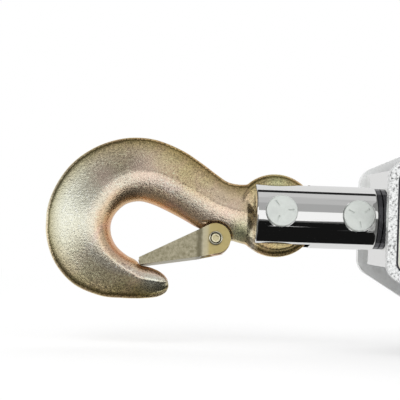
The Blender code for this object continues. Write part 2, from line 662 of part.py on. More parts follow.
def swivel_tube(parent):
    """The chrome tube, slotted for the hook's eye and bored for the swivel stud."""
    end = TUBE_START + TUBE_LENGTH
    bm = bmesh.new()
    turned(bm, ring_profile(TUBE_START, end, TUBE_BORE, TUBE_RADIUS, TUBE_EDGE))
    tube = link_mesh("swivel_tube", bm, CHROME, parent)
    slot = bmesh.new()
    half = EYE_THICKNESS / 2 + SLOT_CLEARANCE
    bar_y(slot, 0, 0, SLOT_RADIUS, -half, half, ROUND)
    boolean(tube, link_mesh("tube_slot", slot, CHROME, parent))
    for label, x, turn_deg in (("hook", HOOK_PIN_X, 0), ("shank", SHANK_PIN_X, SHANK_PIN_TURN_DEG)):
        turn = (math.radians(turn_deg), 0, 0)
        tool = bmesh.new()
        bar_y(tool, x, 0, ANCHOR_PIN_RADIUS + RUN_GAP, -TUBE_RADIUS * 2, TUBE_RADIUS * 2)
        boolean(tube, link_mesh(f"tube_{label}_hole", tool, CHROME, parent, turn=turn))
        for side in (-1, 1):
            low, high = sorted((side * PIN_SEAT, side * TUBE_RADIUS * 2))
            tool = bmesh.new()
            bar_y(tool, x, 0, PIN_HEAD_RADIUS + SEAT_GAP, low, high, ROUND)
            boolean(tube, link_mesh(f"tube_{label}_seat_{side + 2}", tool, CHROME, parent,
                                    turn=turn))
    return tube


def swivel_stud(parent):
    """The stud that turns in the end plate, with its head inside the frame."""
    plate = END_PLATE_X - EYE_X
    inside = plate + END_PLATE_THICKNESS + THRUST_WASHER + 2 * SEAT_GAP
    start = SHANK_PIN_X - PIN_HEAD_RADIUS
    bm = bmesh.new()
    turned(bm, [(start, 0), (inside + STUD_HEAD_HEIGHT, 0),
                (inside + STUD_HEAD_HEIGHT, STUD_HEAD_RADIUS - STUD_HEAD_EDGE),
                (inside + STUD_HEAD_HEIGHT - STUD_HEAD_EDGE, STUD_HEAD_RADIUS),
                (inside, STUD_HEAD_RADIUS), (inside, TUBE_BORE - RUN_GAP),
                (start, TUBE_BORE - RUN_GAP)])
    stud = link_mesh("swivel_stud", bm, BRIGHT_STEEL, parent)
    tool = bmesh.new()
    bar_y(tool, SHANK_PIN_X, 0, ANCHOR_PIN_RADIUS + RUN_GAP, -TUBE_RADIUS, TUBE_RADIUS)
    turn = (math.radians(SHANK_PIN_TURN_DEG), 0, 0)
    boolean(stud, link_mesh("stud_pin_hole", tool, BRIGHT_STEEL, parent, turn=turn))
    return stud


def washer_x(name, parent, start, thickness, radius, colour):
    """A washer round the swivel stud."""
    bm = bmesh.new()
    turned(bm, ring_profile(start, start + thickness, TUBE_BORE + RUN_GAP, radius))
    return link_mesh(name, bm, colour, parent)


def build_swivel(parent):
    """Everything that turns with the anchor hook about the line of pull."""
    plate = END_PLATE_X - EYE_X
    swivel_tube(parent)
    swivel_stud(parent)
    riveted_pin("hook_pin", parent, HOOK_PIN_X, 0)
    riveted_pin("shank_pin", parent, SHANK_PIN_X, SHANK_PIN_TURN_DEG)
    washer_x("swivel_washer", parent, plate - SEAT_GAP - WASHER_THICKNESS, WASHER_THICKNESS,
             WASHER_RADIUS, BRIGHT_STEEL)
    washer_x("thrust_washer", parent, plate + END_PLATE_THICKNESS + SEAT_GAP, THRUST_WASHER,
             STUD_HEAD_RADIUS, BRONZE)


# ---- frame ---------------------------------------------------------------------------------

def side_plate_outline():
    """The side plate: a narrow end at the swivel, a boss round the axle and a flat foot."""
    top_run = (FRAME_TOP - FRAME_LEFT_TOP) / math.tan(math.radians(TOP_FLARE_DEG))
    foot_drop = AXLE_HEIGHT + FRAME_LEFT_BOTTOM
    foot_run = foot_drop / math.tan(math.radians(BOTTOM_FLARE_DEG))
    left = rounded([
        (FRAME_RIGHT, -AXLE_HEIGHT, PLATE_CORNER),
        (FRAME_LEFT + foot_run, -AXLE_HEIGHT, PLATE_CORNER),
        (FRAME_LEFT, FRAME_LEFT_BOTTOM, PLATE_CORNER),
        (FRAME_LEFT, FRAME_LEFT_TOP, PLATE_CORNER),
        (FRAME_LEFT + top_run, FRAME_TOP, PLATE_CORNER * 2),
        (0, FRAME_TOP, 0),
        (FRAME_RIGHT, FRAME_SHOULDER, PLATE_CORNER),
    ])
    boss = arc(0, 0, FRAME_TOP, 90, FRAME_BOSS_END_DEG, 10)
    corner = left.index((0, FRAME_TOP))
    shoulder = rounded([(*boss[-1], 0), (FRAME_RIGHT, FRAME_SHOULDER, PLATE_CORNER),
                        (FRAME_RIGHT, -AXLE_HEIGHT, PLATE_CORNER)])[1:7]
    return left[:corner] + boss + shoulder


def build_side_plates(parent):
    """The front and rear plates with their holes."""
    holes = [(0, 0, AXLE_RADIUS + RUN_GAP), (TIE_ROD_LEFT_X, TIE_ROD_Z, TIE_ROD_NECK),
             (TIE_ROD_RIGHT_X, TIE_ROD_Z, TIE_ROD_NECK),
             (STOP_STUD_X, STOP_STUD_Z, STOP_STUD_SHANK + SEAT_GAP),
             (STOP_PAWL_X, STOP_PAWL_Z, PAWL_PIN_RADIUS + SEAT_GAP)]
    outline = side_plate_outline()
    for side, name in SIDES:
        low, high = sorted((side * PLATE_INNER, side * FRAME_HALF_WIDTH))
        cut_plate(outline, low, high, f"side_plate_{name}", FRAME_ZINC, parent, holes)


def end_plate(parent):
    """The plate between the side plates that the swivel stud turns in."""
    half = PLATE_INNER - SEAT_GAP
    corners = rounded([(-half, -END_PLATE_HALF, END_PLATE_CORNER),
                       (half, -END_PLATE_HALF, END_PLATE_CORNER),
                       (half, END_PLATE_HALF, END_PLATE_CORNER),
                       (-half, END_PLATE_HALF, END_PLATE_CORNER)])
    bm = bmesh.new()
    slab(bm, corners, 0, END_PLATE_THICKNESS)
    bmesh.ops.rotate(bm, verts=bm.verts[:], cent=(0, 0, 0),
                     matrix=Matrix.Rotation(math.radians(-90), 3, "Z"))
    bmesh.ops.translate(bm, verts=bm.verts[:], vec=(END_PLATE_X, 0, 0))
    plate = link_mesh("swivel_end_plate", bm, FRAME_ZINC, parent)
    tool = bmesh.new()
    bar(tool, (END_PLATE_X * 2, 0, 0), (0, 0, 0), TUBE_BORE + RUN_GAP, ROUND)
    boolean(plate, link_mesh("end_plate_bore", tool, FRAME_ZINC, parent))


def tie_rods(parent):
    """Two shouldered rods that space the side plates, riveted over outside."""
    neck = TIE_ROD_NECK - SEAT_GAP
    shoulder = PLATE_INNER - SEAT_GAP
    seat = FRAME_HALF_WIDTH + SEAT_GAP
    top = seat + TIE_ROD_HEAD
    for x, name in ((TIE_ROD_LEFT_X, "tie_rod_left"), (TIE_ROD_RIGHT_X, "tie_rod_right")):
        rod = bmesh.new()
        turned(rod, [(-top, 0), (top, 0), (top, TIE_ROD_HEAD_TOP),
                     (seat + TIE_ROD_HEAD / 2, TIE_ROD_HEAD_RADIUS), (seat, TIE_ROD_HEAD_RADIUS),
                     (seat, neck), (shoulder, neck), (shoulder, TIE_ROD_RADIUS),
                     (-shoulder, TIE_ROD_RADIUS), (-shoulder, neck), (-seat, neck),
                     (-seat, TIE_ROD_HEAD_RADIUS), (-seat - TIE_ROD_HEAD / 2, TIE_ROD_HEAD_RADIUS),
                     (-top, TIE_ROD_HEAD_TOP)], "Y", SMALL_ROUND)
        link_mesh(name, rod, BRIGHT_STEEL, parent, at=(x, 0, TIE_ROD_Z))


def stop_studs(parent):
    """The studs outside the side plates that the handle's fork rests on."""
    seat = FRAME_HALF_WIDTH + SEAT_GAP
    tail = PLATE_INNER - SEAT_GAP
    for side, name in SIDES:
        stud = bmesh.new()
        turned(stud, [(side * a, r) for a, r in (
            (tail - STOP_STUD_TAIL, 0), (seat + STOP_STUD_LENGTH, 0),
            (seat + STOP_STUD_LENGTH, STOP_STUD_RADIUS - STOP_STUD_EDGE),
            (seat + STOP_STUD_LENGTH - STOP_STUD_EDGE, STOP_STUD_RADIUS),
            (seat, STOP_STUD_RADIUS), (seat, STOP_STUD_SHANK), (tail, STOP_STUD_SHANK),
            (tail, STOP_STUD_TAIL_RADIUS), (tail - STOP_STUD_TAIL, STOP_STUD_TAIL_RADIUS))],
               "Y", SMALL_ROUND)
        link_mesh(f"handle_stop_stud_{name}", stud, BRIGHT_STEEL, parent,
                  at=(STOP_STUD_X, 0, STOP_STUD_Z))


def build_axle(parent):
    """The axle bolt with its nut and washers, outside the handle's fork."""
    washer_in = FORK_INNER + FORK_THICKNESS + SEAT_GAP
    washer_out = washer_in + AXLE_WASHER_THICKNESS
    seat = washer_out + SEAT_GAP
    top = seat + AXLE_HEAD_HEIGHT
    bm = bmesh.new()
    bar_y(bm, 0, 0, AXLE_HEAD_RADIUS, -top, -seat, 6)
    bolt = link_mesh("axle_bolt", bm, BRIGHT_STEEL, parent)
    shank = bmesh.new()
    bar_y(shank, 0, 0, AXLE_RADIUS, -seat - AXLE_HEAD_HEIGHT / 2, top, ROUND)
    boolean(bolt, link_mesh("axle_shank", shank, BRIGHT_STEEL, parent), "UNION")
    nut = bmesh.new()
    bar_y(nut, 0, 0, AXLE_HEAD_RADIUS, seat, seat + AXLE_NUT_HEIGHT, 6)
    nut = link_mesh("axle_nut", nut, BRIGHT_STEEL, parent)
    bore = bmesh.new()
    bar_y(bore, 0, 0, AXLE_RADIUS + SEAT_GAP, 0, top * 2, ROUND)
    boolean(nut, link_mesh("nut_bore", bore, BRIGHT_STEEL, parent))
    for side, name in SIDES:
        low, high = sorted((side * washer_in, side * washer_out))
        washer = bmesh.new()
        turned(washer, ring_profile(low, high, AXLE_RADIUS + SEAT_GAP, AXLE_WASHER_RADIUS), "Y",
               ROUND)
        link_mesh(f"axle_washer_{name}", washer, BRIGHT_STEEL, parent)


def build_frame(parent):
    """The fixed parts of the winch."""
    build_side_plates(parent)
    end_plate(parent)
    tie_rods(parent)
    stop_studs(parent)
    build_axle(parent)


# ---- drum ----------------------------------------------------------------------------------

def ratchet_radius(deg):
    """The wheel's radius in one direction: a ramp up to each tooth, then a steep face."""
    share = ((deg - RATCHET_PHASE_DEG) % TOOTH_DEG) / TOOTH_DEG
    return RATCHET_ROOT + (RATCHET_RADIUS - RATCHET_ROOT) * min(1, share / RATCHET_RAMP)


def ratchet_outline():
    """The ratchet wheel's teeth."""
    outline = []
    for tooth in range(RATCHET_TEETH):
        start = RATCHET_PHASE_DEG + tooth * TOOTH_DEG
        for share in (0.0, 0.3, 0.6, RATCHET_RAMP, 0.995):
            turn = start + share * TOOTH_DEG
            radius = ratchet_radius(turn)
            outline.append((radius * math.cos(math.radians(turn)),
                            radius * math.sin(math.radians(turn))))
    return outline


def wheel_bolt_places():
    """The bolts that clamp the wheels to the spool."""
    turns = [90 + 360 * i / WHEEL_BOLTS for i in range(WHEEL_BOLTS)]
    return [(WHEEL_BOLT_CIRCLE * math.cos(math.radians(t)),
             WHEEL_BOLT_CIRCLE * math.sin(math.radians(t))) for t in turns]


def build_drum(parent):
    """The spool, its two ratchet wheels, bush, clamp bolts and the rope on it."""
    holes = [(0, 0, BUSH_RADIUS + SEAT_GAP)]
    holes += [(x, z, WHEEL_BOLT_RADIUS + SEAT_GAP) for x, z in wheel_bolt_places()]
    for side, name in SIDES:
        low, high = sorted((side * RATCHET_INNER, side * RATCHET_OUTER))
        cut_plate(ratchet_outline(), low, high, f"ratchet_wheel_{name}", CAST_STEEL, parent,
                  holes)
    spool = RATCHET_INNER - SEAT_GAP
    circle = arc(0, 0, DRUM_CORE_RADIUS, 0, 360, ROUND)[:-1]
    cut_plate(circle, -spool, spool, "drum_spool", CAST_STEEL, parent, holes)
    bush = bmesh.new()
    half = PLATE_INNER - SIDE_GAP
    turned(bush, ring_profile(-half, half, AXLE_RADIUS + RUN_GAP, BUSH_RADIUS), "Y")
    link_mesh("drum_bush", bush, BRONZE, parent)
    wheel_bolts(parent)
    wound_rope(parent)


def wheel_bolts(parent):
    """Bolts through both ratchet wheels and the spool."""
    seat = RATCHET_OUTER + SEAT_GAP
    top = seat + WHEEL_BOLT_HEAD_HEIGHT
    for i, (x, z) in enumerate(wheel_bolt_places()):
        bolt = bmesh.new()
        turned(bolt, [(-top, 0), (top, 0), (top, WHEEL_BOLT_HEAD), (seat, WHEEL_BOLT_HEAD),
                      (seat, WHEEL_BOLT_RADIUS), (-seat, WHEEL_BOLT_RADIUS),
                      (-seat, WHEEL_BOLT_HEAD), (-top, WHEEL_BOLT_HEAD)], "Y", SMALL_ROUND)
        link_mesh(f"wheel_bolt_{i + 1}", bolt, BRIGHT_STEEL, parent, at=(x, 0, z))


def rope_lean():
    """How far the free rope leans down, where it leaves the drum for the thimble's nose."""
    reach = math.hypot(ROPE_NOSE_X, ROPE_NOSE_Z)
    fall = math.atan2(-ROPE_NOSE_Z, ROPE_NOSE_X)
    return fall - math.asin(WIND_RADIUS / reach)


def wound_rope(parent):
    """The outer layer of rope, ending where the free rope leaves the drum below."""
    leave = math.degrees(-rope_lean()) - 90
    coil = helix_y(WIND_RADIUS, WIND_PITCH, WIND_TURNS, WIND_POINTS, WIND_START_Y, leave)
    print("least gap of the wound rope:", round(least_gap(coil, ROPE_RADIUS, WIND_POINTS), 5))
    wound_tube("wound_rope", coil, ROPE_RADIUS, WIRE_ROPE, parent)


# ---- rope end ------------------------------------------------------------------------------

def rope_run():
    """The length of the straight rope, from the drum to the thimble's nose."""
    return math.sqrt(ROPE_NOSE_X ** 2 + ROPE_NOSE_Z ** 2 - WIND_RADIUS ** 2)


def teardrop(offset, start_half=0.0, reach=0.0, steps=14):
    """The rope's path round the thimble, offset outwards, from where it is start_half high."""
    start_half = start_half or ROPE_SPACE
    nose = rope_run()
    middle = nose - THIMBLE_BEND
    apex = middle - THIMBLE_LENGTH
    lean = math.atan2(THIMBLE_BEND - ROPE_SPACE, THIMBLE_LENGTH)
    lean_deg = math.degrees(lean)
    bend = arc(middle, 0, THIMBLE_BEND + offset, 90 + lean_deg, -90 - lean_deg, steps)
    start_x = apex + (start_half - ROPE_SPACE) / math.tan(lean) - reach
    start_z = start_half + offset / math.cos(lean)
    return [(start_x, start_z)] + bend + [(start_x, -start_z)]


def build_rope_end(parent):
    """The thimble, the rope round it, the ferrule and the free rope."""
    nose = rope_run()
    apex = nose - THIMBLE_BEND - THIMBLE_LENGTH
    wall = ROPE_SPACE + THIMBLE_WALL
    groove = ROPE_SPACE
    bm = bmesh.new()
    mouth = wall + ROPE_RADIUS / 2
    slab(bm, teardrop(0, mouth) + teardrop(-wall, mouth)[::-1], -wall, wall)
    thimble = link_mesh("thimble", bm, BRIGHT_STEEL, parent)
    tool = bmesh.new()
    beyond = THIMBLE_WALL
    slab(tool, teardrop(wall, mouth, beyond) + teardrop(-groove, mouth, beyond)[::-1],
         -groove, groove)
    boolean(thimble, link_mesh("thimble_groove", tool, BRIGHT_STEEL, parent))
    loop = teardrop(0)
    straight = 2 * ROPE_RADIUS
    loop = [(apex - straight, ROPE_SPACE)] + loop + [(apex - straight, -ROPE_SPACE)]
    wound_tube("rope_eye", [(x, 0, z) for x, z in loop], ROPE_RADIUS, WIRE_ROPE, parent)
    end = apex - straight - SEAT_GAP
    ferrule = bmesh.new()
    tall = ROPE_SPACE + ROPE_RADIUS + FERRULE_WALL
    wide = ROPE_RADIUS + FERRULE_WALL
    turned(ferrule, [(end - FERRULE_LENGTH, 0), (end, 0), (end, wide * FERRULE_END),
                     (end - FERRULE_EDGE, wide), (end - FERRULE_LENGTH + FERRULE_EDGE, wide),
                     (end - FERRULE_LENGTH, wide * FERRULE_END)], "X", SMALL_ROUND)
    bmesh.ops.scale(ferrule, verts=ferrule.verts[:], vec=(1, 1, tall / wide))
    link_mesh("ferrule", ferrule, CAST_STEEL, parent)
    start = SEAT_GAP
    stop = end - FERRULE_LENGTH - SEAT_GAP
    points = [(start + (stop - start) * i / FREE_ROPE_POINTS, 0, 0)
              for i in range(FREE_ROPE_POINTS + 1)]
    wound_tube("free_rope", points, ROPE_RADIUS, WIRE_ROPE, parent)


# ---- handle and pawls ----------------------------------------------------------------------

def fork_outline():
    """The side view of one fork cheek: hub, ear for the drive pawl's pin and nose."""
    hub = arc(0, 0, FORK_HEIGHT, 80, 270, 16)
    ear = arc(DRIVE_PIN_X, DRIVE_PIN_Z, FORK_EAR, 100, 20, 6)
    lower = rounded([(FORK_END, FORK_NOSE_HEIGHT, FORK_NOSE_CORNER),
                     (FORK_END, -FORK_NOSE_HEIGHT, FORK_NOSE_CORNER),
                     (FORK_BEND_START, -FORK_HEIGHT, FORK_SHOULDER_CORNER),
                     (0, -FORK_HEIGHT, 0)])
    top = [point for point in lower if point != (0, -FORK_HEIGHT)]
    return hub + list(reversed(top)) + list(reversed(ear))


def fork_cheek(name, side, parent):
    """One cheek of the fork, flat beside the frame and cranked in to the handle tube."""
    bm = bmesh.new()
    low, high = sorted((side * FORK_INNER, side * (FORK_INNER + FORK_THICKNESS)))
    slab(bm, fork_outline(), low, high)
    for x in (FORK_BEND_START, FORK_BEND_END):
        geometry = bm.verts[:] + bm.edges[:] + bm.faces[:]
        bmesh.ops.bisect_plane(bm, geom=geometry, plane_co=(x, 0, 0), plane_no=(1, 0, 0))
    crank = FORK_INNER - HANDLE_TUBE_RADIUS - SEAT_GAP
    for vert in bm.verts:
        share = (vert.co.x - FORK_BEND_START) / (FORK_BEND_END - FORK_BEND_START)
        vert.co.y -= side * crank * min(1, max(0, share))
    cheek = link_mesh(name, bm, FRAME_ZINC, parent)
    holes = [(0, 0, AXLE_RADIUS + RUN_GAP), (DRIVE_PIN_X, DRIVE_PIN_Z, PAWL_PIN_RADIUS + SEAT_GAP)]
    holes += [(x, 0, HANDLE_BOLT_RADIUS + SEAT_GAP) for x in HANDLE_BOLTS_X]
    for i, (x, z, radius) in enumerate(holes):
        tool = bmesh.new()
        bar_y(tool, x, z, radius, -FRAME_HALF_WIDTH * 2, FRAME_HALF_WIDTH * 2, SMALL_ROUND)
        boolean(cheek, link_mesh(f"{name}_hole_{i + 1}", tool, FRAME_ZINC, parent))


def build_handle(parent):
    """The lever: fork, tube, bolts and grip."""
    fork_cheek("handle_fork_front", -1, parent)
    fork_cheek("handle_fork_rear", 1, parent)
    grip_start = HANDLE_LENGTH - GRIP_LENGTH
    tube = bmesh.new()
    turned(tube, ring_profile(HANDLE_TUBE_START, HANDLE_LENGTH - GRIP_END_CAP - SEAT_GAP,
                              HANDLE_TUBE_RADIUS - HANDLE_TUBE_WALL, HANDLE_TUBE_RADIUS))
    tube = link_mesh("handle_tube", tube, BRIGHT_STEEL, parent)
    for i, x in enumerate(HANDLE_BOLTS_X):
        tool = bmesh.new()
        bar_y(tool, x, 0, HANDLE_BOLT_RADIUS + SEAT_GAP, -GRIP_RADIUS, GRIP_RADIUS)
        boolean(tube, link_mesh(f"handle_tube_hole_{i + 1}", tool, BRIGHT_STEEL, parent))
    grip = bmesh.new()
    inner = HANDLE_TUBE_RADIUS + SEAT_GAP
    turned(grip, [(grip_start, inner), (HANDLE_LENGTH - GRIP_END_CAP, inner),
                  (HANDLE_LENGTH - GRIP_END_CAP, 0), (HANDLE_LENGTH, 0),
                  (HANDLE_LENGTH, GRIP_RADIUS - GRIP_EDGE),
                  (HANDLE_LENGTH - GRIP_EDGE, GRIP_RADIUS),
                  (grip_start + GRIP_COLLAR, GRIP_RADIUS),
                  (grip_start + GRIP_EDGE, GRIP_RADIUS + GRIP_COLLAR_RISE),
                  (grip_start, GRIP_RADIUS)])
    link_mesh("handle_grip", grip, BLACK_GRIP, parent)
    seat = HANDLE_TUBE_RADIUS + FORK_THICKNESS + 2 * SEAT_GAP
    top = seat + HANDLE_BOLT_HEAD_HEIGHT
    for i, x in enumerate(HANDLE_BOLTS_X):
        bolt = bmesh.new()
        turned(bolt, [(-top, 0), (top, 0), (top, HANDLE_BOLT_HEAD), (seat, HANDLE_BOLT_HEAD),
                      (seat, HANDLE_BOLT_RADIUS), (-seat, HANDLE_BOLT_RADIUS),
                      (-seat, HANDLE_BOLT_HEAD), (-top, HANDLE_BOLT_HEAD)], "Y", SMALL_ROUND)
        link_mesh(f"handle_bolt_{i + 1}", bolt, BRIGHT_STEEL, parent, at=(x, 0, 0))


def polar(radius, deg):
    """A point round the axle, in the XZ plane."""
    return (radius * math.cos(math.radians(deg)), radius * math.sin(math.radians(deg)))


def pawl_outline(tooth, pivot, tail):
    """An engaged pawl: its nose fills the gap behind a tooth face, its eye is at the pivot."""
    face = RATCHET_PHASE_DEG + tooth * TOOTH_DEG
    ramp = [(face + share * TOOTH_DEG) for share in (0.05, 0.35, 0.65, 0.95)]
    under = [polar(ratchet_radius(turn) + PAWL_CLEARANCE, turn) for turn in ramp]
    top = [polar(PAWL_NOSE_RADIUS, ramp[0])]
    towards = math.degrees(math.atan2(top[0][1] - pivot[1], top[0][0] - pivot[0]))
    eye = arc(*pivot, PAWL_EYE_RADIUS, towards - 75, towards - 285, 14)
    return top + under + eye + tail


def build_pawl(name, tooth, pivot, parent, tail=()):
    """A pawl thrown off its wheel, turned back about its pin."""
    bm = bmesh.new()
    slab(bm, pawl_outline(tooth, pivot, list(tail)), -PAWL_WIDTH_HALF, PAWL_WIDTH_HALF)
    turn = Matrix.Rotation(math.radians(-PAWL_OPEN_DEG), 3, "Y")
    bmesh.ops.rotate(bm, verts=bm.verts[:], cent=(pivot[0], 0, pivot[1]), matrix=turn)
    bmesh.ops.translate(bm, verts=bm.verts[:], vec=(-pivot[0], 0, -pivot[1]))
    pawl = link_mesh(name, bm, CAST_STEEL, parent, at=(pivot[0], 0, pivot[1]))
    tool = bmesh.new()
    bar_y(tool, 0, 0, PAWL_PIN_RADIUS + RUN_GAP, -FRAME_HALF_WIDTH, FRAME_HALF_WIDTH)
    bore = link_mesh(f"{name}_bore", tool, CAST_STEEL, parent, at=(pivot[0], 0, pivot[1]))
    boolean(pawl, bore)


def pawl_pin(name, pivot, seat, parent):
    """A pawl's pin, riveted over outside the plates that carry it."""
    seat = seat + SEAT_GAP
    top = seat + PAWL_PIN_HEAD_HEIGHT
    bm = bmesh.new()
    turned(bm, [(-top, 0), (top, 0), (top, PAWL_PIN_RADIUS), (seat, PAWL_PIN_HEAD_RADIUS),
                (seat, PAWL_PIN_RADIUS), (-seat, PAWL_PIN_RADIUS),
                (-seat, PAWL_PIN_HEAD_RADIUS), (-top, PAWL_PIN_RADIUS)], "Y", SMALL_ROUND)
    link_mesh(name, bm, BRIGHT_STEEL, parent, at=(pivot[0], 0, pivot[1]))


def pawl_spring(name, pivot, parent):
    """A torsion coil round a pawl's pin, beside the pawl."""
    low = -PAWL_WIDTH_HALF - PAWL_SPRING_PITCH * PAWL_SPRING_CURLS - PAWL_SPRING_WIRE
    coil = helix_y(PAWL_SPRING_RADIUS, PAWL_SPRING_PITCH, PAWL_SPRING_CURLS, SPRING_POINTS, low,
                   -90)
    gap = least_gap(coil, PAWL_SPRING_WIRE / 2, SPRING_POINTS)
    print(f"least gap of the {name}:", round(gap, 5))
    points = [(x + pivot[0], y, z + pivot[1]) for x, y, z in coil]
    wound_tube(name, points, PAWL_SPRING_WIRE / 2, SPRING_STEEL, parent)


def pawl_spacers(name, pivot, reach, parent):
    """Sleeves round a pawl's pin that keep the pawl in the middle."""
    for side, label in SIDES:
        low, high = sorted((side * (PAWL_WIDTH_HALF + SEAT_GAP), side * (reach - SEAT_GAP)))
        sleeve = bmesh.new()
        turned(sleeve, ring_profile(low, high, PAWL_PIN_RADIUS + RUN_GAP, PAWL_SPACER_RADIUS),
               "Y", SMALL_ROUND)
        link_mesh(f"{name}_{label}", sleeve, BRIGHT_STEEL, parent, at=(pivot[0], 0, pivot[1]))


def build_pawls(parent):
    """The stop pawl in the frame and the drive pawl in the handle's fork."""
    stop = (STOP_PAWL_X, STOP_PAWL_Z)
    drive = (DRIVE_PIN_X, DRIVE_PIN_Z)
    thumb = [(STOP_PAWL_X + x, STOP_PAWL_Z + z) for x, z in (
        (THUMB_TIP_X, THUMB_TIP_Z), (THUMB_EDGE_X, THUMB_EDGE_Z), (THUMB_ROOT_X, THUMB_ROOT_Z))]
    build_pawl("stop_pawl", STOP_TOOTH, stop, parent, thumb)
    pawl_pin("stop_pawl_pin", stop, FRAME_HALF_WIDTH, parent)
    pawl_spring("stop_pawl_spring", stop, parent)
    pawl_spacers("stop_pawl_spacer", stop, PLATE_INNER, parent)
    build_pawl("drive_pawl", DRIVE_TOOTH, drive, parent)
    pawl_pin("drive_pawl_pin", drive, FORK_INNER + FORK_THICKNESS, parent)
    pawl_spring("drive_pawl_spring", drive, parent)
    pawl_spacers("drive_pawl_spacer", drive, FORK_INNER, parent)


def build_winch():
    """The whole tool, placed so that its base's middle is the origin."""
    clear_scene()
    winch = empty("winch", None, (AXLE_X, 0, AXLE_HEIGHT))
    roll = math.radians(-SWIVEL_ROLL_DEG)
    swivel = empty("swivel_line", winch, (EYE_X, 0, 0), (roll, 0, 0))
    hook_with_latch("anchor", swivel, HOOK_PIN_X, ANCHOR_PIN_RADIUS + RUN_GAP)
    build_swivel(swivel)
    build_frame(winch)
    build_drum(winch)
    lean = rope_lean()
    leave = (-WIND_RADIUS * math.sin(lean), ROPE_Y, -WIND_RADIUS * math.cos(lean))
    rope_line = empty("rope_line", winch, leave, (0, lean, 0))
    build_rope_end(rope_line)
    drop = THIMBLE_BEND + ROPE_RADIUS - HOOK_THICKNESS / 2
    pitch = math.asin(drop / -HOOK_LEFT)
    eye = (ROPE_NOSE_X + EYE_SETBACK * math.cos(pitch), ROPE_Y,
           ROPE_NOSE_Z - EYE_SETBACK * math.sin(pitch))
    loose = empty("loose_hook_line", winch, eye, (math.radians(-90), -pitch, math.pi))
    hook_with_latch("cable", loose, 0, CABLE_EYE_HOLE)
    build_handle(winch)
    build_pawls(winch)


build_winch()
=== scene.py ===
"""Looks of the hand ratchet puller: forged hook and swivel, winch frame, rope and handle.

Metres, +Z up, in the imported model's frame. The line of pull runs along X.
"""
import math

import bpy
from mathutils import Matrix, Vector
from mathutils.kdtree import KDTree


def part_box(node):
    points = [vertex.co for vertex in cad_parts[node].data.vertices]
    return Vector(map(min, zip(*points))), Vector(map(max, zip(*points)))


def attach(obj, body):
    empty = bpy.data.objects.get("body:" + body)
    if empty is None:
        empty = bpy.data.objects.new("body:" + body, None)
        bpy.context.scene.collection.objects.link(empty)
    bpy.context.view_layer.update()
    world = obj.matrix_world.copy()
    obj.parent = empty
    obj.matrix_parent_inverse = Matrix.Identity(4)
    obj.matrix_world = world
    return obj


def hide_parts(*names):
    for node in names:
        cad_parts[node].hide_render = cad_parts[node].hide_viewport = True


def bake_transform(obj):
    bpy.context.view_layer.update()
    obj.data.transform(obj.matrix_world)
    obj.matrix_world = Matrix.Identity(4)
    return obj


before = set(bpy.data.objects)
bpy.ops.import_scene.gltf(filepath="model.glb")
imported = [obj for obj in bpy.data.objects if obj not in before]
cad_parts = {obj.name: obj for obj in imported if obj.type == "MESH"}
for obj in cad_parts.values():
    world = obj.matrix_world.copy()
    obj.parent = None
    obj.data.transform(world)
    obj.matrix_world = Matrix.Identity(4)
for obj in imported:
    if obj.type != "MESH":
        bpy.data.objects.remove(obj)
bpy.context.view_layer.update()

MM = 0.001


def middle(node):
    """The middle of a CAD node's box."""
    low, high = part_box(node)
    return (Vector(low) + Vector(high)) / 2


def rotation(axis, degrees):
    """A turn about an axis, as a matrix."""
    return Matrix.Rotation(math.radians(degrees), 4, axis)


def mm(*points):
    """Points whose numbers are given in millimetres."""
    return [tuple(part * MM for part in point) for point in points]


# ---- sizes and places ------------------------------------------------------------------------

HOOK_PIN_X = 1.3 * MM
EYE_CENTRE = middle("hook_pin") - Vector((HOOK_PIN_X, 0, 0))
AXLE = middle("drum_spool")
SWIVEL_LINE = Matrix.Translation(EYE_CENTRE) @ rotation("X", -8)
LOOSE_HOOK_LINE = Matrix((
    (-0.998367, -0.057118, 0, 0.035395),
    (0, 0, -1, 0.010300),
    (0.057118, -0.998367, 0, 0.015829),
    (0, 0, 0, 1),
))
ACROSS = rotation("X", 90)     # turns a piece's own axis to -Y
ALONG = rotation("Y", 90)      # turns a piece's own axis to +X
SIDES = ((-1, "front"), (1, "rear"))
THROUGH = 30 * MM              # half a bore's length, past both faces of its piece
PAST_FACE = 10 * MM            # how far a drill reaches beyond each face of a plate
FIT_ROOM = 0.3 * MM            # left between pieces that fit into or onto each other

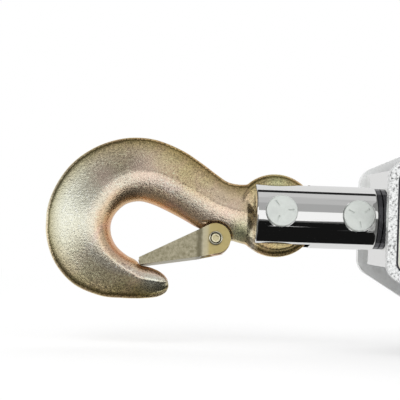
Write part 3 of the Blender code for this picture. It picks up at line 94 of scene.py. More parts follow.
# Forged hook, from the point round the bowl to the eye: outer edge, inner edge, thickness, ridge
HOOK_STATIONS = (
    ((-0.0522, -0.0372), (-0.0530, -0.0338), 0.0070, 0.45),
    ((-0.0536, -0.0402), (-0.0546, -0.0318), 0.0100, 0.45),
    ((-0.0572, -0.0423), (-0.0574, -0.0298), 0.0120, 0.45),
    ((-0.0622, -0.0432), (-0.0618, -0.0281), 0.0135, 0.44),
    ((-0.0680, -0.0436), (-0.0660, -0.0272), 0.0145, 0.42),
    ((-0.0745, -0.0436), (-0.0692, -0.0246), 0.0155, 0.36),
    ((-0.0857, -0.0428), (-0.0736, -0.0224), 0.0165, 0.28),
    ((-0.0994, -0.0372), (-0.0784, -0.0184), 0.0170, 0.22),
    ((-0.1094, -0.0258), (-0.0811, -0.0136), 0.0170, 0.20),
    ((-0.1138, -0.0106), (-0.0819, -0.0086), 0.0170, 0.20),
    ((-0.1122, 0.0050), (-0.0809, -0.0040), 0.0170, 0.22),
    ((-0.1042, 0.0202), (-0.0782, 0.0001), 0.0170, 0.27),
    ((-0.0920, 0.0306), (-0.0739, 0.0035), 0.0170, 0.34),
    ((-0.0772, 0.0362), (-0.0677, 0.0048), 0.0170, 0.40),
    ((-0.0622, 0.0364), (-0.0611, 0.0033), 0.0170, 0.44),
    ((-0.0480, 0.0315), (-0.0540, 0.0003), 0.0170, 0.46),
    ((-0.0378, 0.0253), (-0.0464, -0.0034), 0.0168, 0.48),
    ((-0.0291, 0.0191), (-0.0383, -0.0077), 0.0160, 0.50),
    ((-0.0240, 0.0160), (-0.0295, -0.0108), 0.0152, 0.50),
    ((-0.0190, 0.0150), (-0.0200, -0.0138), 0.0148, 0.50),
    ((-0.0146, 0.0151), (-0.0146, -0.0151), 0.0145, 0.50),
    ((-0.0092, 0.0172), (-0.0092, -0.0172), 0.0051, 0.50),
)
HOOK_LEFT = -113.8 * MM
# Places of a painted highlight (palest) and of the plating's own colours (pinkest and greenest),
# each with its reach
PAINTED_HIGHLIGHT_SPOTS = (((-0.106, 0.000), 0.034), ((-0.060, -0.0345), 0.006), ((-0.056, -0.0375), 0.005))
ROSY_SPOTS = (((-0.026, 0.003), 0.014), ((-0.066, 0.021), 0.010), ((-0.086, 0.016), 0.007))
GREEN_SPOTS = (((-0.018, -0.010), 0.006), ((0.0, 0.017), 0.007))
EYE_TONE = 0.62            # the share whose plating colour the whole eye has
EYE_TONE_START = -14.6 * MM
EYE_TONE_RUN = 6 * MM      # over which the neck's plating colours run into it
RIM_SHADE_REACH = 8 * MM         # how far in from the outline the painted shade along the rim reaches
MARK_STEPS = 40            # places across each station that the plating is read from
STATION_STEPS = 6
INNER_POINTS = 9
OUTER_POINTS = 14
INNER_ROUNDNESS = 1.9
BEAD_WIDTH = 0.58          # how far the bead reaches towards the rim, as a share
BEAD_FALL = 1.9
RIM_SHARE = 0.32
RIM_LAND = 0.9 * MM        # half the trimmed land along the parting line
FLANGE_HALF = 1.9 * MM     # the flat flash flange that is left round the outer rim
FLANGE_WIDTH = 1.5 * MM
FLANGE_STEP = 0.9 * MM     # how far the step down to it runs
FORGING_VOXEL = 0.5 * MM
PAST_HOOK = 20 * MM        # from its middle to past either face

EYE_RADIUS = 20.9 * MM
EYE_HALF = 4.7 * MM
EYE_FACE_RADIUS = 17.9 * MM
ANCHOR_EYE_HOLE = 4.5 * MM
CABLE_EYE_HOLE = 10.5 * MM

LATCH_RIVET_AT = (-0.0301, -0.0133)
LATCH_TIP_TOP = (-0.0675, -0.0239)
LATCH_TIP_BOTTOM = (-0.0668, -0.0274)
LATCH_BEND = (-0.0381, -0.0227)
LATCH_HEEL = (-0.0253, -0.0197)
LATCH_HEAD_RADIUS = 7.5 * MM
LATCH_INNER_HALF = 5.2 * MM
LATCH_SHEET = 1.3 * MM
LATCH_ROOM = 1.1 * MM
LATCH_OPEN_DEG = 28
LATCH_FADE = 30 * MM       # the length that the latch's plating colours, painted highlight and painted shade are spread over
LUG_RADIUS = 7.8 * MM
LUG_HALF = 2.8 * MM
POCKET_FLOOR = 2.5 * MM
ARM_POCKET_FLOOR = 4.6 * MM
RIVET_RADIUS = 2.2 * MM
RIVET_SPREAD = 4 * MM      # the reach of the rivet's rings of painted highlight and painted shade

TUBE_RADIUS = 15.7 * MM
TUBE_BORE = 10.5 * MM
TUBE_START = -10.8 * MM
TUBE_END = 49.1 * MM
SLOT_HALF = 5.35 * MM
SLOT_RADIUS = 22.5 * MM
PIN_SHANK = 4.2 * MM
PIN_HEAD = 7.7 * MM
PIN_SEAT = 13.9 * MM
PIN_TOP = 17.5 * MM
SHANK_PIN_X = 39.3 * MM
SHANK_PIN_TURN_DEG = 4

# Frame, seen from the front and measured from the axle
PLATE_INNER = 33.0 * MM
PLATE_OUTER = 38.0 * MM
PLATE_LEFT = -108.0 * MM
PLATE_RIGHT = 66.0 * MM
PLATE_BOTTOM = -66.0 * MM
PLATE_TOP = 42.0 * MM
PLATE_CORNER = 4.5 * MM
NOSE_CORNER = 9.0 * MM
PLATE_SHOULDER = -18.0 * MM
NOSE_TOP = 24.5 * MM
NOSE_BOTTOM = -26.0 * MM
TOP_FLARE = math.tan(math.radians(24.5))
BOTTOM_FLARE = math.tan(math.radians(31.0))
BOSS_END_DEG = 10
TIE_RODS = ((-30 * MM, -54 * MM, "left"), (58 * MM, -54 * MM, "right"))
STOP_STUD = (59 * MM, -24.3 * MM)
STOP_PIVOT = (-66 * MM, 5 * MM)
DRIVE_PIVOT = (65.366 * MM, 18.743 * MM)
WHEEL_BOLT_CIRCLE = 19.5 * MM
WHEEL_BOLTS = [(WHEEL_BOLT_CIRCLE * math.cos(math.radians(t)),
                WHEEL_BOLT_CIRCLE * math.sin(math.radians(t))) for t in (90, 210, 330)]
HANDLE_BOLTS = (117 * MM, 132 * MM)
AXLE_BORE = 8.3 * MM
AXLE_RADIUS = 8 * MM
AXLE_HEX = 13.5 * MM
LABEL_INSET = 4.3 * MM     # from the plate's edge to the label panel
LABEL_RIGHT = -77.0 * MM
LABEL_BORDER = 0.9 * MM
LABEL_CORNER = 5.5 * MM

# Rope
ROPE_RADIUS = 2.5 * MM
ROPE_SPACE = 2.8 * MM      # half the distance between the two legs of its eye
ROPE_LAY = 34 * MM
ROPE_STEP = 1.8 * MM
STRANDS = 6
STRAND_WIRES = 6
WIND_RADIUS = 30.0 * MM
WIND_PITCH = 5.5 * MM
WIND_TURNS = 5
WIND_START_Y = -17.2 * MM
ROPE_START = Vector((-0.099186, 0.0103, 0.036353))
ROPE_ALONG = Vector((0.988249, 0, -0.152854))
ROPE_UP = Vector((0.152854, 0, 0.988249))
ROPE_LINE = Matrix((
    (ROPE_ALONG.x, 0, ROPE_UP.x, ROPE_START.x),
    (0, 1, 0, ROPE_START.y),
    (ROPE_ALONG.z, 0, ROPE_UP.z, ROPE_START.z),
    (0, 0, 0, 1),
))
ROPE_NOSE = 133.15 * MM    # along the rope, from the drum to the thimble's nose
THIMBLE_BEND = 12.5 * MM
THIMBLE_LENGTH = 34 * MM
FERRULE_LENGTH = 22 * MM
ROPE_GAP = 0.3 * MM        # at each end of a length of rope


# ---- tools of the hand -----------------------------------------------------------------------

def alone(thing):
    """Select one piece only, and make it the active one."""
    bpy.ops.object.select_all(action="DESELECT")
    thing.select_set(True)
    bpy.context.view_layer.objects.active = thing
    return thing


def settle(thing, place=None):
    """Put a piece in its place and write the place into its mesh."""
    alone(thing)
    if place is not None:
        thing.matrix_world = place @ thing.matrix_world
    bpy.ops.object.transform_apply(location=True, rotation=True, scale=True)
    return thing


def link(name, data):
    """A new object in the scene that holds the data."""
    thing = bpy.data.objects.new(name, data)
    bpy.context.scene.collection.objects.link(thing)
    return thing


def face_outwards(thing, merge=False):
    """Turn a piece's faces outwards, once its doubled points are merged if they are to be."""
    alone(thing)
    bpy.ops.object.mode_set(mode="EDIT")
    bpy.ops.mesh.select_all(action="SELECT")
    if merge:
        bpy.ops.mesh.remove_doubles(threshold=1e-6)
    bpy.ops.mesh.normals_make_consistent(inside=False)
    bpy.ops.object.mode_set(mode="OBJECT")
    return thing


def apply_step(thing, kind, **settings):
    """Add one modifier to a piece and apply it."""
    alone(thing)
    step = thing.modifiers.new(kind.title(), kind)
    for name, value in settings.items():
        setattr(step, name, value)
    bpy.ops.object.modifier_apply(modifier=step.name)
    return thing


def cut(thing, tool, operation="DIFFERENCE"):
    """Cut a tool out of a piece, or join it on, and clear the tool away."""
    apply_step(thing, "BOOLEAN", operation=operation, solver="EXACT", object=tool)
    bpy.data.objects.remove(tool, do_unlink=True)
    return thing


def soften(thing, width, segments=3, angle=35):
    """Round a piece's sharp edges."""
    return apply_step(thing, "BEVEL", width=width, segments=segments, limit_method="ANGLE",
                      angle_limit=math.radians(angle), miter_outer="MITER_ARC")


def smooth(thing, angle=35):
    """Shade a piece smooth, but for its sharp edges, and keep its broad faces flat."""
    alone(thing)
    bpy.ops.object.shade_smooth_by_angle(angle=math.radians(angle))
    return apply_step(thing, "WEIGHTED_NORMAL", keep_sharp=True)


def put(thing, name, body, look, *nodes):
    """Name a finished piece, give it its finish, and let it ride for its CAD nodes."""
    slot, finish = look
    thing.name = name
    thing.data.name = name
    thing.data.materials.clear()
    thing.data.materials.append(finish)
    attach(thing, body)
    if nodes:
        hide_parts(*nodes)
    return thing


def lathe(profile, sides=64, closed=False):
    """A turned piece along +Z: a round blank drawn out ring by ring to (height, radius)."""
    height, radius = profile[0]
    fill = "NOTHING" if closed else "NGON"
    bpy.ops.mesh.primitive_circle_add(vertices=sides, radius=radius, fill_type=fill,
                                      location=(0, 0, height))
    thing = settle(bpy.context.object)
    draw_out = bpy.ops.mesh.extrude_edges_move if closed else bpy.ops.mesh.extrude_region_move
    bpy.ops.object.mode_set(mode="EDIT")
    bpy.ops.mesh.select_all(action="SELECT")
    ends = profile[1:] + (profile[:1] if closed else [])
    for (low, narrow), (high, wide) in zip(profile, ends):
        draw_out(TRANSFORM_OT_translate={"value": (0, 0, high - low)})
        bpy.ops.transform.resize(value=(wide / narrow, wide / narrow, 1),
                                 center_override=(0, 0, high))
    bpy.ops.object.mode_set(mode="OBJECT")
    return face_outwards(thing, merge=True)


def mirrored(half):
    """A whole turned profile from its half beyond the middle."""
    return [(-height, radius) for height, radius in reversed(half)] + half


def span(side, near, far):
    """Two y places on one side of the tool, the lower first."""
    return sorted((side * near, side * far))


def sheet_blank(outline, low, high):
    """A flat piece: a blank laid out to (x, z) points and drawn out from y = low to y = high."""
    bpy.ops.mesh.primitive_circle_add(vertices=len(outline), radius=1, fill_type="NGON")
    thing = bpy.context.object
    for vert, (x, z) in zip(thing.data.vertices, outline):
        vert.co = (x, low, z)
    bpy.ops.object.mode_set(mode="EDIT")
    bpy.ops.mesh.select_all(action="SELECT")
    bpy.ops.mesh.extrude_region_move(TRANSFORM_OT_translate={"value": (0, high - low, 0)})
    bpy.ops.object.mode_set(mode="OBJECT")
    return face_outwards(thing)


def rod_across(x, z, radius, low, high, sides=48):
    """A round bar across the tool, from y = low to y = high."""
    bpy.ops.mesh.primitive_cylinder_add(vertices=sides, radius=radius, depth=high - low,
                                        location=(x, (low + high) / 2, z),
                                        rotation=(math.radians(90), 0, 0))
    return settle(bpy.context.object)


def arc(x, z, radius, start_deg, end_deg, steps):
    """Points on an arc in the XZ plane."""
    turns = [start_deg + (end_deg - start_deg) * i / steps for i in range(steps + 1)]
    return [(x + radius * math.cos(math.radians(t)), z + radius * math.sin(math.radians(t)))
            for t in turns]


def rounded(corners, steps=8):
    """An outline whose corners, given as (x, z, radius), are rounded."""
    outline = []
    for i, (x, z, radius) in enumerate(corners):
        here = Vector((x, z))
        to_last = (Vector(corners[i - 1][:2]) - here).normalized()
        to_next = (Vector(corners[(i + 1) % len(corners)][:2]) - here).normalized()
        half = to_last.angle(to_next) / 2
        middle = here + (to_last + to_next).normalized() * radius / math.sin(half)
        first = here + to_last * radius / math.tan(half) - middle
        last = here + to_next * radius / math.tan(half) - middle
        sweep = first.angle_signed(last)
        for k in range(steps + 1):
            spoke = first.copy()
            spoke.rotate(Matrix.Rotation(-sweep * k / steps, 2))
            outline.append(tuple(middle + spoke))
    return outline


def drill(thing, holes, low, high):
    """Round holes across a piece that lies from y = low to y = high, as (x, z, radius)."""
    for x, z, radius in holes:
        cut(thing, rod_across(x, z, radius, low - PAST_FACE, high + PAST_FACE, 64))
    return thing


def at_axle(thing):
    """Carry a piece that is laid out round the axle to its place."""
    return settle(thing, Matrix.Translation((AXLE.x, 0, AXLE.z)))


def turned_across(name, node, body, look, at, profile, width=0.3 * MM):
    """A turned piece across the tool, at an (x, z) place measured from the axle."""
    thing = smooth(soften(lathe(profile), width, 2, 30))
    settle(thing, Matrix.Translation((at[0], 0, at[1])) @ ACROSS)
    return put(at_axle(thing), name, body, look, node)


def socket_across(thing, at, radius, floor):
    """A six-sided key socket in both ends of a piece across the tool."""
    for side in (-1, 1):
        cut(thing, at_axle(rod_across(*at, radius, *span(side, floor, 0.1), 6)))
    return smooth(thing)


def ring_across(name, node, body, look, at, low, high, inner, outer):
    """A washer or sleeve across the tool, between two y places."""
    edge = 0.25 * MM
    profile = [(-high, inner), (-low, inner), (-low, outer - edge), (-low - edge, outer),
               (-high + edge, outer), (-high, outer - edge)]
    thing = smooth(lathe(profile, closed=True))
    settle(thing, Matrix.Translation((at[0], 0, at[1])) @ ACROSS)
    return put(at_axle(thing), name, body, look, node)


def refined(name, node, body, look, width, segments=2):
    """A finer piece from a copy of a CAD node: its faces joined and its edges rounded."""
    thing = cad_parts[node].copy()
    thing.data = thing.data.copy()
    bpy.context.scene.collection.objects.link(thing)
    settle(thing)
    bpy.ops.object.mode_set(mode="EDIT")
    bpy.ops.mesh.select_all(action="SELECT")
    bpy.ops.mesh.remove_doubles(threshold=1e-6)
    bpy.ops.mesh.dissolve_limited(angle_limit=math.radians(1))
    bpy.ops.object.mode_set(mode="OBJECT")
    return put(smooth(soften(thing, width, segments)), name, body, look, node)


def swept(points, section, turns=0.0):
    """One unbroken piece along a list of points, its section turning so many times."""
    curves = []
    for places, closed in ((section, True), (points, False)):
        curve = bpy.data.curves.new("sweep", "CURVE")
        curve.dimensions = "2D" if closed else "3D"
        spline = curve.splines.new("POLY")
        spline.points.add(len(places) - 1)
        spline.use_cyclic_u = closed
        for i, place in enumerate(places):
            spline.points[i].co = (*place, 0, 1) if closed else (*place, 1)
            spline.points[i].tilt = 0 if closed else math.tau * turns * i / (len(places) - 1)
        curves.append(link("sweep", curve))
    outline, path = curves
    path.data.bevel_mode = "OBJECT"
    path.data.bevel_object = outline
    path.data.use_fill_caps = True
    alone(path)
    bpy.ops.object.convert(target="MESH")
    bpy.data.objects.remove(outline, do_unlink=True)
    path = face_outwards(bpy.context.object, merge=True)
    bpy.ops.object.shade_smooth_by_angle(angle=math.radians(50))
    return path


# ---- finishes --------------------------------------------------------------------------------

class Finish:
    """A procedural material while it is put together."""

    def __init__(self, name, colour, metallic, roughness):
        self.material = bpy.data.materials.new(name)
        self.material.use_nodes = True
        self.tree = self.material.node_tree
        self.surface = self.tree.nodes["Principled BSDF"]
        self.surface.inputs["Base Color"].default_value = (*colour, 1)
        self.surface.inputs["Metallic"].default_value = metallic
        self.surface.inputs["Roughness"].default_value = roughness
        self.place = self.node("ShaderNodeTexCoord").outputs["Object"]

    def node(self, kind, **settings):
        """A new node, with its settings."""
        made = self.tree.nodes.new(kind)
        for name, value in settings.items():
            setattr(made, name, value)
        return made

    def join(self, source, target):
        """Link an output, or set a plain value."""
        if isinstance(source, bpy.types.NodeSocket):
            self.tree.links.new(source, target)
        else:
            target.default_value = source

    def noise(self, scale, detail=2.0, rough=0.5, stretch=(1, 1, 1)):
        """Noise on the piece, with about one blot for each 1 / scale metres."""
        mapped = self.node("ShaderNodeMapping")
        self.join(self.place, mapped.inputs["Vector"])
        mapped.inputs["Scale"].default_value = stretch
        made = self.node("ShaderNodeTexNoise")
        self.join(mapped.outputs["Vector"], made.inputs["Vector"])
        made.inputs["Scale"].default_value = scale
        made.inputs["Detail"].default_value = detail
        made.inputs["Roughness"].default_value = rough
        return made.outputs["Fac"]

    def ramp(self, value, stops):
        """A run of colours or greys along a value."""
        made = self.node("ShaderNodeValToRGB")
        self.join(value, made.inputs["Fac"])
        while len(made.color_ramp.elements) < len(stops):
            made.color_ramp.elements.new(1.0)
        for element, (position, colour) in zip(made.color_ramp.elements, stops):
            grey = (colour,) * 3 if isinstance(colour, (int, float)) else colour
            element.position = position
            element.color = (*grey, 1)
        return made.outputs["Color"]

    def mix(self, share, first, second, blend="MIX"):
        """Blend two colours."""
        made = self.node("ShaderNodeMix", data_type="RGBA", blend_type=blend)
        self.join(share, made.inputs["Factor"])
        for socket, colour in ((made.inputs["A"], first), (made.inputs["B"], second)):
            self.join((*colour, 1) if isinstance(colour, tuple) else colour, socket)
        return made.outputs["Result"]

    def spread(self, value, low, high, start=0.0, end=1.0):
        """Carry a value from one range to another."""
        made = self.node("ShaderNodeMapRange")
        self.join(value, made.inputs["Value"])
        for name, number in (("From Min", start), ("From Max", end), ("To Min", low),
                             ("To Max", high)):
            made.inputs[name].default_value = number
        return made.outputs["Result"]

    def maths(self, operation, first, second=0.0):
        """Arithmetic on two values."""
        made = self.node("ShaderNodeMath", operation=operation)
        self.join(first, made.inputs[0])
        self.join(second, made.inputs[1])
        return made.outputs[0]

    def mark(self, name):
        """A value that the piece's own mesh carries."""
        return self.node("ShaderNodeAttribute", attribute_name=name).outputs["Fac"]

    def colour(self, source):
        """Give the surface its colour."""
        self.join(source, self.surface.inputs["Base Color"])

    def roughness(self, source):
        """Give the surface its roughness."""
        self.join(source, self.surface.inputs["Roughness"])

    def bump(self, height, distance, strength=1.0):
        """Fine relief; a second call lies on top of the first."""
        made = self.node("ShaderNodeBump")
        made.inputs["Strength"].default_value = strength
        made.inputs["Distance"].default_value = distance
        self.join(height, made.inputs["Height"])
        normal = self.surface.inputs["Normal"]
        if normal.is_linked:
            self.join(normal.links[0].from_socket, made.inputs["Normal"])
        self.join(made.outputs["Normal"], normal)


def forged_chromate():
    """Sandy forged steel under yellow chromate, with salmon walls and green and pink bands, and
    painted light: highlights on the bead and the bowl, glints in the grain, shade at the rim.
    """
    finish = Finish("forged_chromate", (0.80, 0.72, 0.48), 0.93, 0.3)
    across = finish.mark("across")
    drift = finish.noise(38, 3)
    shifted = finish.maths("ADD", across, finish.spread(drift, -0.05, 0.05))
    # Across the section: salmon wall, then gold to olive plating, with a painted highlight
    # (near-white pink at 0.27 to 0.38) along the bead's crest and painted shade darkening towards
    # the outer edge.
    bands = finish.ramp(shifted, (
        (0.00, (0.76, 0.38, 0.19)), (0.10, (0.76, 0.40, 0.22)), (0.13, (0.66, 0.44, 0.30)),
        (0.19, (0.94, 0.66, 0.50)), (0.27, (1.00, 0.86, 0.76)), (0.38, (1.00, 0.84, 0.72)),
        (0.50, (0.96, 0.72, 0.42)), (0.72, (0.84, 0.67, 0.34)), (1.00, (0.76, 0.61, 0.30)),
    ))
    tint = finish.ramp(finish.noise(48, 2), (
        (0.36, (0.78, 0.78, 0.44)), (0.46, (0.94, 0.78, 0.40)), (0.54, (1.00, 0.70, 0.52)),
        (0.64, (0.92, 0.80, 0.42)),
    ))
    plated = finish.mix(0.3, bands, tint)
    # Painted shade along the outline: a pale tint on the rim, a near-black line just inside it by
    # the flange's step, fading inwards; multiplied in outside the inner wall.
    rim = finish.ramp(finish.mark("inside"), (
        (0.00, (1.00, 0.92, 0.80)), (0.11, (1.00, 0.86, 0.74)), (0.15, (0.22, 0.19, 0.12)),
        (0.21, (0.30, 0.27, 0.17)), (0.30, (0.62, 0.58, 0.46)), (0.62, (0.84, 0.82, 0.76)),
        (1.00, (1.00, 1.00, 1.00)),
    ))
    # Painted highlight: the pale mark lays near-white on the outer web, at the bowl's left and near
    # the point.
    outwards = finish.ramp(across, ((0.2, 0.0), (0.4, 1.0)))
    pale = finish.maths("MULTIPLY", finish.mark("pale"), outwards)
    plated = finish.mix(pale, plated, (1.00, 1.00, 0.84))
    rosy = finish.maths("MULTIPLY", finish.mark("rosy"), finish.spread(drift, 0.3, 1.1, 0.3, 0.7))
    plated = finish.mix(rosy, plated, (1.00, 0.78, 0.64))
    plated = finish.mix(finish.mark("green"), plated, (0.80, 0.80, 0.48))
    plated = finish.mix(finish.ramp(across, ((0.25, 0.0), (0.45, 1.0))), plated,
                        finish.mix(1.0, plated, rim, "MULTIPLY"))
    grain = finish.noise(1150, 2, 0.7)
    # The grain's specks: dark pits, and above 1 painted glints that make the grain sparkle brighter
    # than the plating.
    grain_and_glints = finish.ramp(grain, ((0.30, 0.32), (0.45, 0.84), (0.55, 1.0), (0.70, 1.5)))
    # bright: where the highlight is painted (pale) or the plating is pink (rosy); the grain and the
    # roughness are eased there.
    bright = finish.maths("MAXIMUM", finish.mark("pale"), finish.mark("rosy"))
    rough = finish.maths("MULTIPLY", finish.spread(bright, 1.0, 0.4),
                         finish.ramp(across, ((0.10, 0.35), (0.14, 1.0))))
    finish.colour(finish.mix(rough, plated, grain_and_glints, "MULTIPLY"))
    sheen = finish.spread(grain, 0.2, 0.42, 0.3, 0.7)
    finish.roughness(finish.maths("MULTIPLY", sheen, finish.spread(bright, 1.0, 0.6)))
    finish.bump(grain, 0.2 * MM, 0.8)
    finish.bump(finish.noise(240, 3), 0.3 * MM, 0.3)
    return finish.material


def latch_zinc():
    """Gold zinc on pressed sheet, with a pale painted highlight and then painted shade at the fold,
    and mottled along the arm.
    """
    finish = Finish("latch_zinc", (0.70, 0.58, 0.26), 0.92, 0.34)
    arm = finish.mark("arm")
    grey = finish.ramp(arm, ((0.10, 0.0), (0.20, 1.0)))
    # fold: painted shade, a dark band at the fold; web: a painted highlight, a pale band just
    # before it.
    fold = finish.ramp(arm, ((0.20, 0.0), (0.25, 0.75), (0.28, 0.75), (0.33, 0.0)))
    web = finish.ramp(arm, ((0.09, 0.0), (0.14, 0.55), (0.20, 0.55), (0.23, 0.0)))
    blots = finish.ramp(finish.noise(600, 4, 0.7), ((0.36, 0.0), (0.64, 1.0)))
    gold = finish.mix(finish.noise(90, 2), (0.52, 0.41, 0.16), (0.66, 0.55, 0.26))
    worn = finish.mix(blots, (0.30, 0.27, 0.17), (0.58, 0.53, 0.38))
    plated = finish.mix(fold, finish.mix(grey, gold, worn), (0.17, 0.15, 0.09))
    finish.colour(finish.mix(web, plated, (0.78, 0.71, 0.50)))
    finish.roughness(finish.spread(finish.noise(600, 3), 0.26, 0.46))
    finish.bump(finish.noise(1400, 2), 0.08 * MM, 0.7)
    return finish.material


def rivet_zinc():
    """Gold zinc on a flared rivet, with painted highlights on its inner lip and rolled crest, and
    painted shade in the ring round its socket and on its outer flank.
    """
    finish = Finish("rivet_zinc", (0.80, 0.72, 0.45), 0.95, 0.22)
    # Rings by distance from the axis: pale painted highlights on the inner lip and the crest,
    # near-black painted shade in the groove round the socket, darker on the outer flank.
    rings = finish.ramp(finish.mark("radial"), (
        (0.00, (0.62, 0.52, 0.26)), (0.40, (0.55, 0.46, 0.22)), (0.45, (0.90, 0.84, 0.60)),
        (0.52, (0.90, 0.84, 0.60)), (0.56, (0.10, 0.09, 0.05)), (0.67, (0.12, 0.10, 0.06)),
        (0.71, (1.00, 0.96, 0.76)), (0.80, (1.00, 0.96, 0.76)), (0.86, (0.30, 0.25, 0.12)),
    ))
    finish.colour(rings)
    finish.roughness(finish.spread(finish.noise(700, 3), 0.14, 0.34))
    return finish.material


def chrome():
    """Bright polished plating with a few faint hairlines."""
    finish = Finish("chrome_plate", (0.88, 0.88, 0.87), 1.0, 0.05)
    lines = finish.noise(300, 4, 0.6, (0.06, 1, 1))
    finish.roughness(finish.spread(lines, 0.03, 0.10, 0.35, 0.7))
    finish.bump(finish.noise(45, 2), 0.05 * MM, 0.25)
    return finish.material


def cloudy(name, metallic, dark, bright, cloud, sheen, rough, relief=None):
    """A finish that is cloudy in its colour and its sheen, over fine relief if it has any."""
    finish = Finish(name, bright, metallic, rough[0])
    finish.colour(finish.mix(finish.noise(*cloud), dark, bright))
    finish.roughness(finish.spread(finish.noise(*sheen), *rough))
    if relief:
        scale, depth = relief
        finish.bump(finish.noise(scale, 2, 0.6), depth, 0.6)
    return finish.material


def dull_zinc(name, tone=(0.84, 0.88, 0.84), rough=(0.28, 0.48)):
    """Pale zinc on steel, cloudy and finely pitted."""
    dark = tuple(part * 0.8 for part in tone)
    bright = tuple(min(1.0, part * 1.12) for part in tone)
    return cloudy(name, 0.75, dark, bright, (130, 4, 0.6), (420, 3), rough, (1300, 0.07 * MM))


def sandy_plate(name, depth, metallic):
    """The frame's plating: pale, over a steel skin that is sandy to some depth."""
    finish = Finish(name, (0.80, 0.81, 0.80), metallic, 0.2)
    grain = finish.noise(760, 3, 0.65)
    specks = finish.ramp(grain, ((0.36, 0.18), (0.48, 0.80), (0.58, 0.96)))
    base = finish.mix(finish.noise(60, 3), (0.88, 0.89, 0.885), (0.95, 0.96, 0.955))
    finish.colour(finish.mix(depth, base, specks, "MULTIPLY"))
    finish.roughness(finish.spread(grain, 0.10, 0.10 + 0.2 * depth, 0.35, 0.65))
    finish.bump(grain, 0.10 * MM, depth)
    return finish.material


def cast_steel():
    """Dark phosphated steel with brighter, rubbed spots."""
    finish = Finish("cast_steel", (0.16, 0.16, 0.17), 0.8, 0.45)
    worn = finish.ramp(finish.noise(170, 4, 0.6), ((0.45, 0.0), (0.68, 1.0)))
    finish.colour(finish.mix(worn, (0.13, 0.13, 0.14), (0.30, 0.30, 0.31)))
    finish.roughness(finish.spread(finish.noise(500, 3), 0.34, 0.56))
    finish.bump(finish.noise(700, 3, 0.6), 0.12 * MM, 0.6)
    return finish.material


def steel_wire():
    """Drawn steel wire, slightly oiled."""
    return cloudy("steel_wire", 0.95, (0.34, 0.34, 0.34), (0.66, 0.66, 0.65), (300, 3), (900, 2),
                  (0.22, 0.44))


def grip_rubber():
    """Black moulded rubber with a fine matt skin."""
    return cloudy("grip_rubber", 0.0, (0.014, 0.014, 0.015), (0.035, 0.035, 0.036), (90, 3),
                  (350, 3), (0.48, 0.72), (1800, 0.10 * MM))


def bearing_bronze():
    """Plain bearing bronze."""
    return cloudy("bearing_bronze", 0.95, (0.48, 0.31, 0.15), (0.68, 0.47, 0.25), (120, 3),
                  (500, 3), (0.22, 0.42))


# Each look is a slot of the record and the finish that goes with it
FORGED = ("forged_zinc_yellow", forged_chromate())
LATCH = ("latch_zinc_yellow", latch_zinc())
LABEL_EDGE = ("frame_zinc", dull_zinc("label_edge", (0.05, 0.05, 0.06), (0.40, 0.55)))
LABEL_FACE = ("frame_zinc", dull_zinc("label_face", (0.86, 0.84, 0.74), (0.30, 0.42)))
RIVET = ("latch_zinc_yellow", rivet_zinc())
# Near-black zinc for the swivel's bright steel washer: a painted dark reflection.
PAINTED_DARK_RING = ("bright_steel", dull_zinc("painted_dark_ring", (0.10, 0.10, 0.11), (0.16, 0.30)))
CHROME = ("chrome", chrome())
PIN_ZINC = ("chrome", dull_zinc("pin_zinc"))
END_PLATE = ("frame_zinc", CHROME[1])
BOLT_ZINC = ("bright_steel", dull_zinc("bolt_zinc", (0.66, 0.67, 0.67), (0.2, 0.4)))
PLATE = ("frame_zinc", sandy_plate("sandy_plate", 1.0, 0.6))
SMOOTH_PLATE = ("frame_zinc", sandy_plate("smooth_plate", 0.1, 0.1))
CAST = ("ratchet_steel", cast_steel())
ROPE_WIRE = ("wire_rope", steel_wire())
SPRING_WIRE = ("spring_steel", ROPE_WIRE[1])
RUBBER = ("grip_rubber", grip_rubber())
BRONZE = ("bronze", bearing_bronze())


# ---- forged hooks ----------------------------------------------------------------------------

def between(a, b, c, d, t):
    """A point between b and c on a smooth curve through all four."""
    return [0.5 * (2 * q + (r - p) * t + (2 * p - 5 * q + 4 * r - s) * t * t
                   + (3 * q - p - 3 * r + s) * t ** 3) for p, q, r, s in zip(a, b, c, d)]


def fine_stations():
    """The hook's stations with smooth ones in between, but none on the shoulder's step."""
    flat = [(*outer, *inner, thick, ridge) for outer, inner, thick, ridge in HOOK_STATIONS]
    body = flat[:-1]
    made = []
    for i in range(len(body) - 1):
        ends = (body[max(i - 1, 0)], body[i], body[i + 1], body[min(i + 2, len(body) - 1)])
        made += [between(*ends, k / STATION_STEPS) for k in range(STATION_STEPS)]
    return [[max(HOOK_LEFT, u), *rest] for u, *rest in made + [body[-1], flat[-1]]]


def half_section(width, half, ridge):
    """One face of the forging, as (distance from the inner edge, height): wall, bead and web."""
    points = []
    crest = ridge * width
    land = min(RIM_LAND, half * 0.25)
    for i in range(INNER_POINTS):
        t = (i / (INNER_POINTS - 1)) ** 1.6
        rise = (1 - (1 - t) ** INNER_ROUNDNESS) ** (1 / INNER_ROUNDNESS)
        points.append((crest * t, land + (half - land) * rise))
    flange = min(FLANGE_WIDTH, width * 0.12)
    step = min(FLANGE_STEP, width * 0.08)
    shelf = min(FLANGE_HALF, half * 0.5)
    last = 1 / (1 + BEAD_WIDTH ** -BEAD_FALL)
    web_width = width - flange - step
    for i in range(1, OUTER_POINTS + 1):
        t = i / OUTER_POINTS
        bead = 1 / (1 + (t / BEAD_WIDTH) ** BEAD_FALL)
        height = half * (RIM_SHARE + (1 - RIM_SHARE) * (bead - last) / (1 - last))
        points.append((crest + (web_width - crest) * t, height))
    web = points[-1][1]
    points += [(web_width + step * 0.35, web - (web - shelf) * 0.25),
               (web_width + step, shelf), (width - flange * 0.45, shelf * 0.96),
               (width - flange * 0.12, (shelf + land) / 2), (width, land)]
    return points


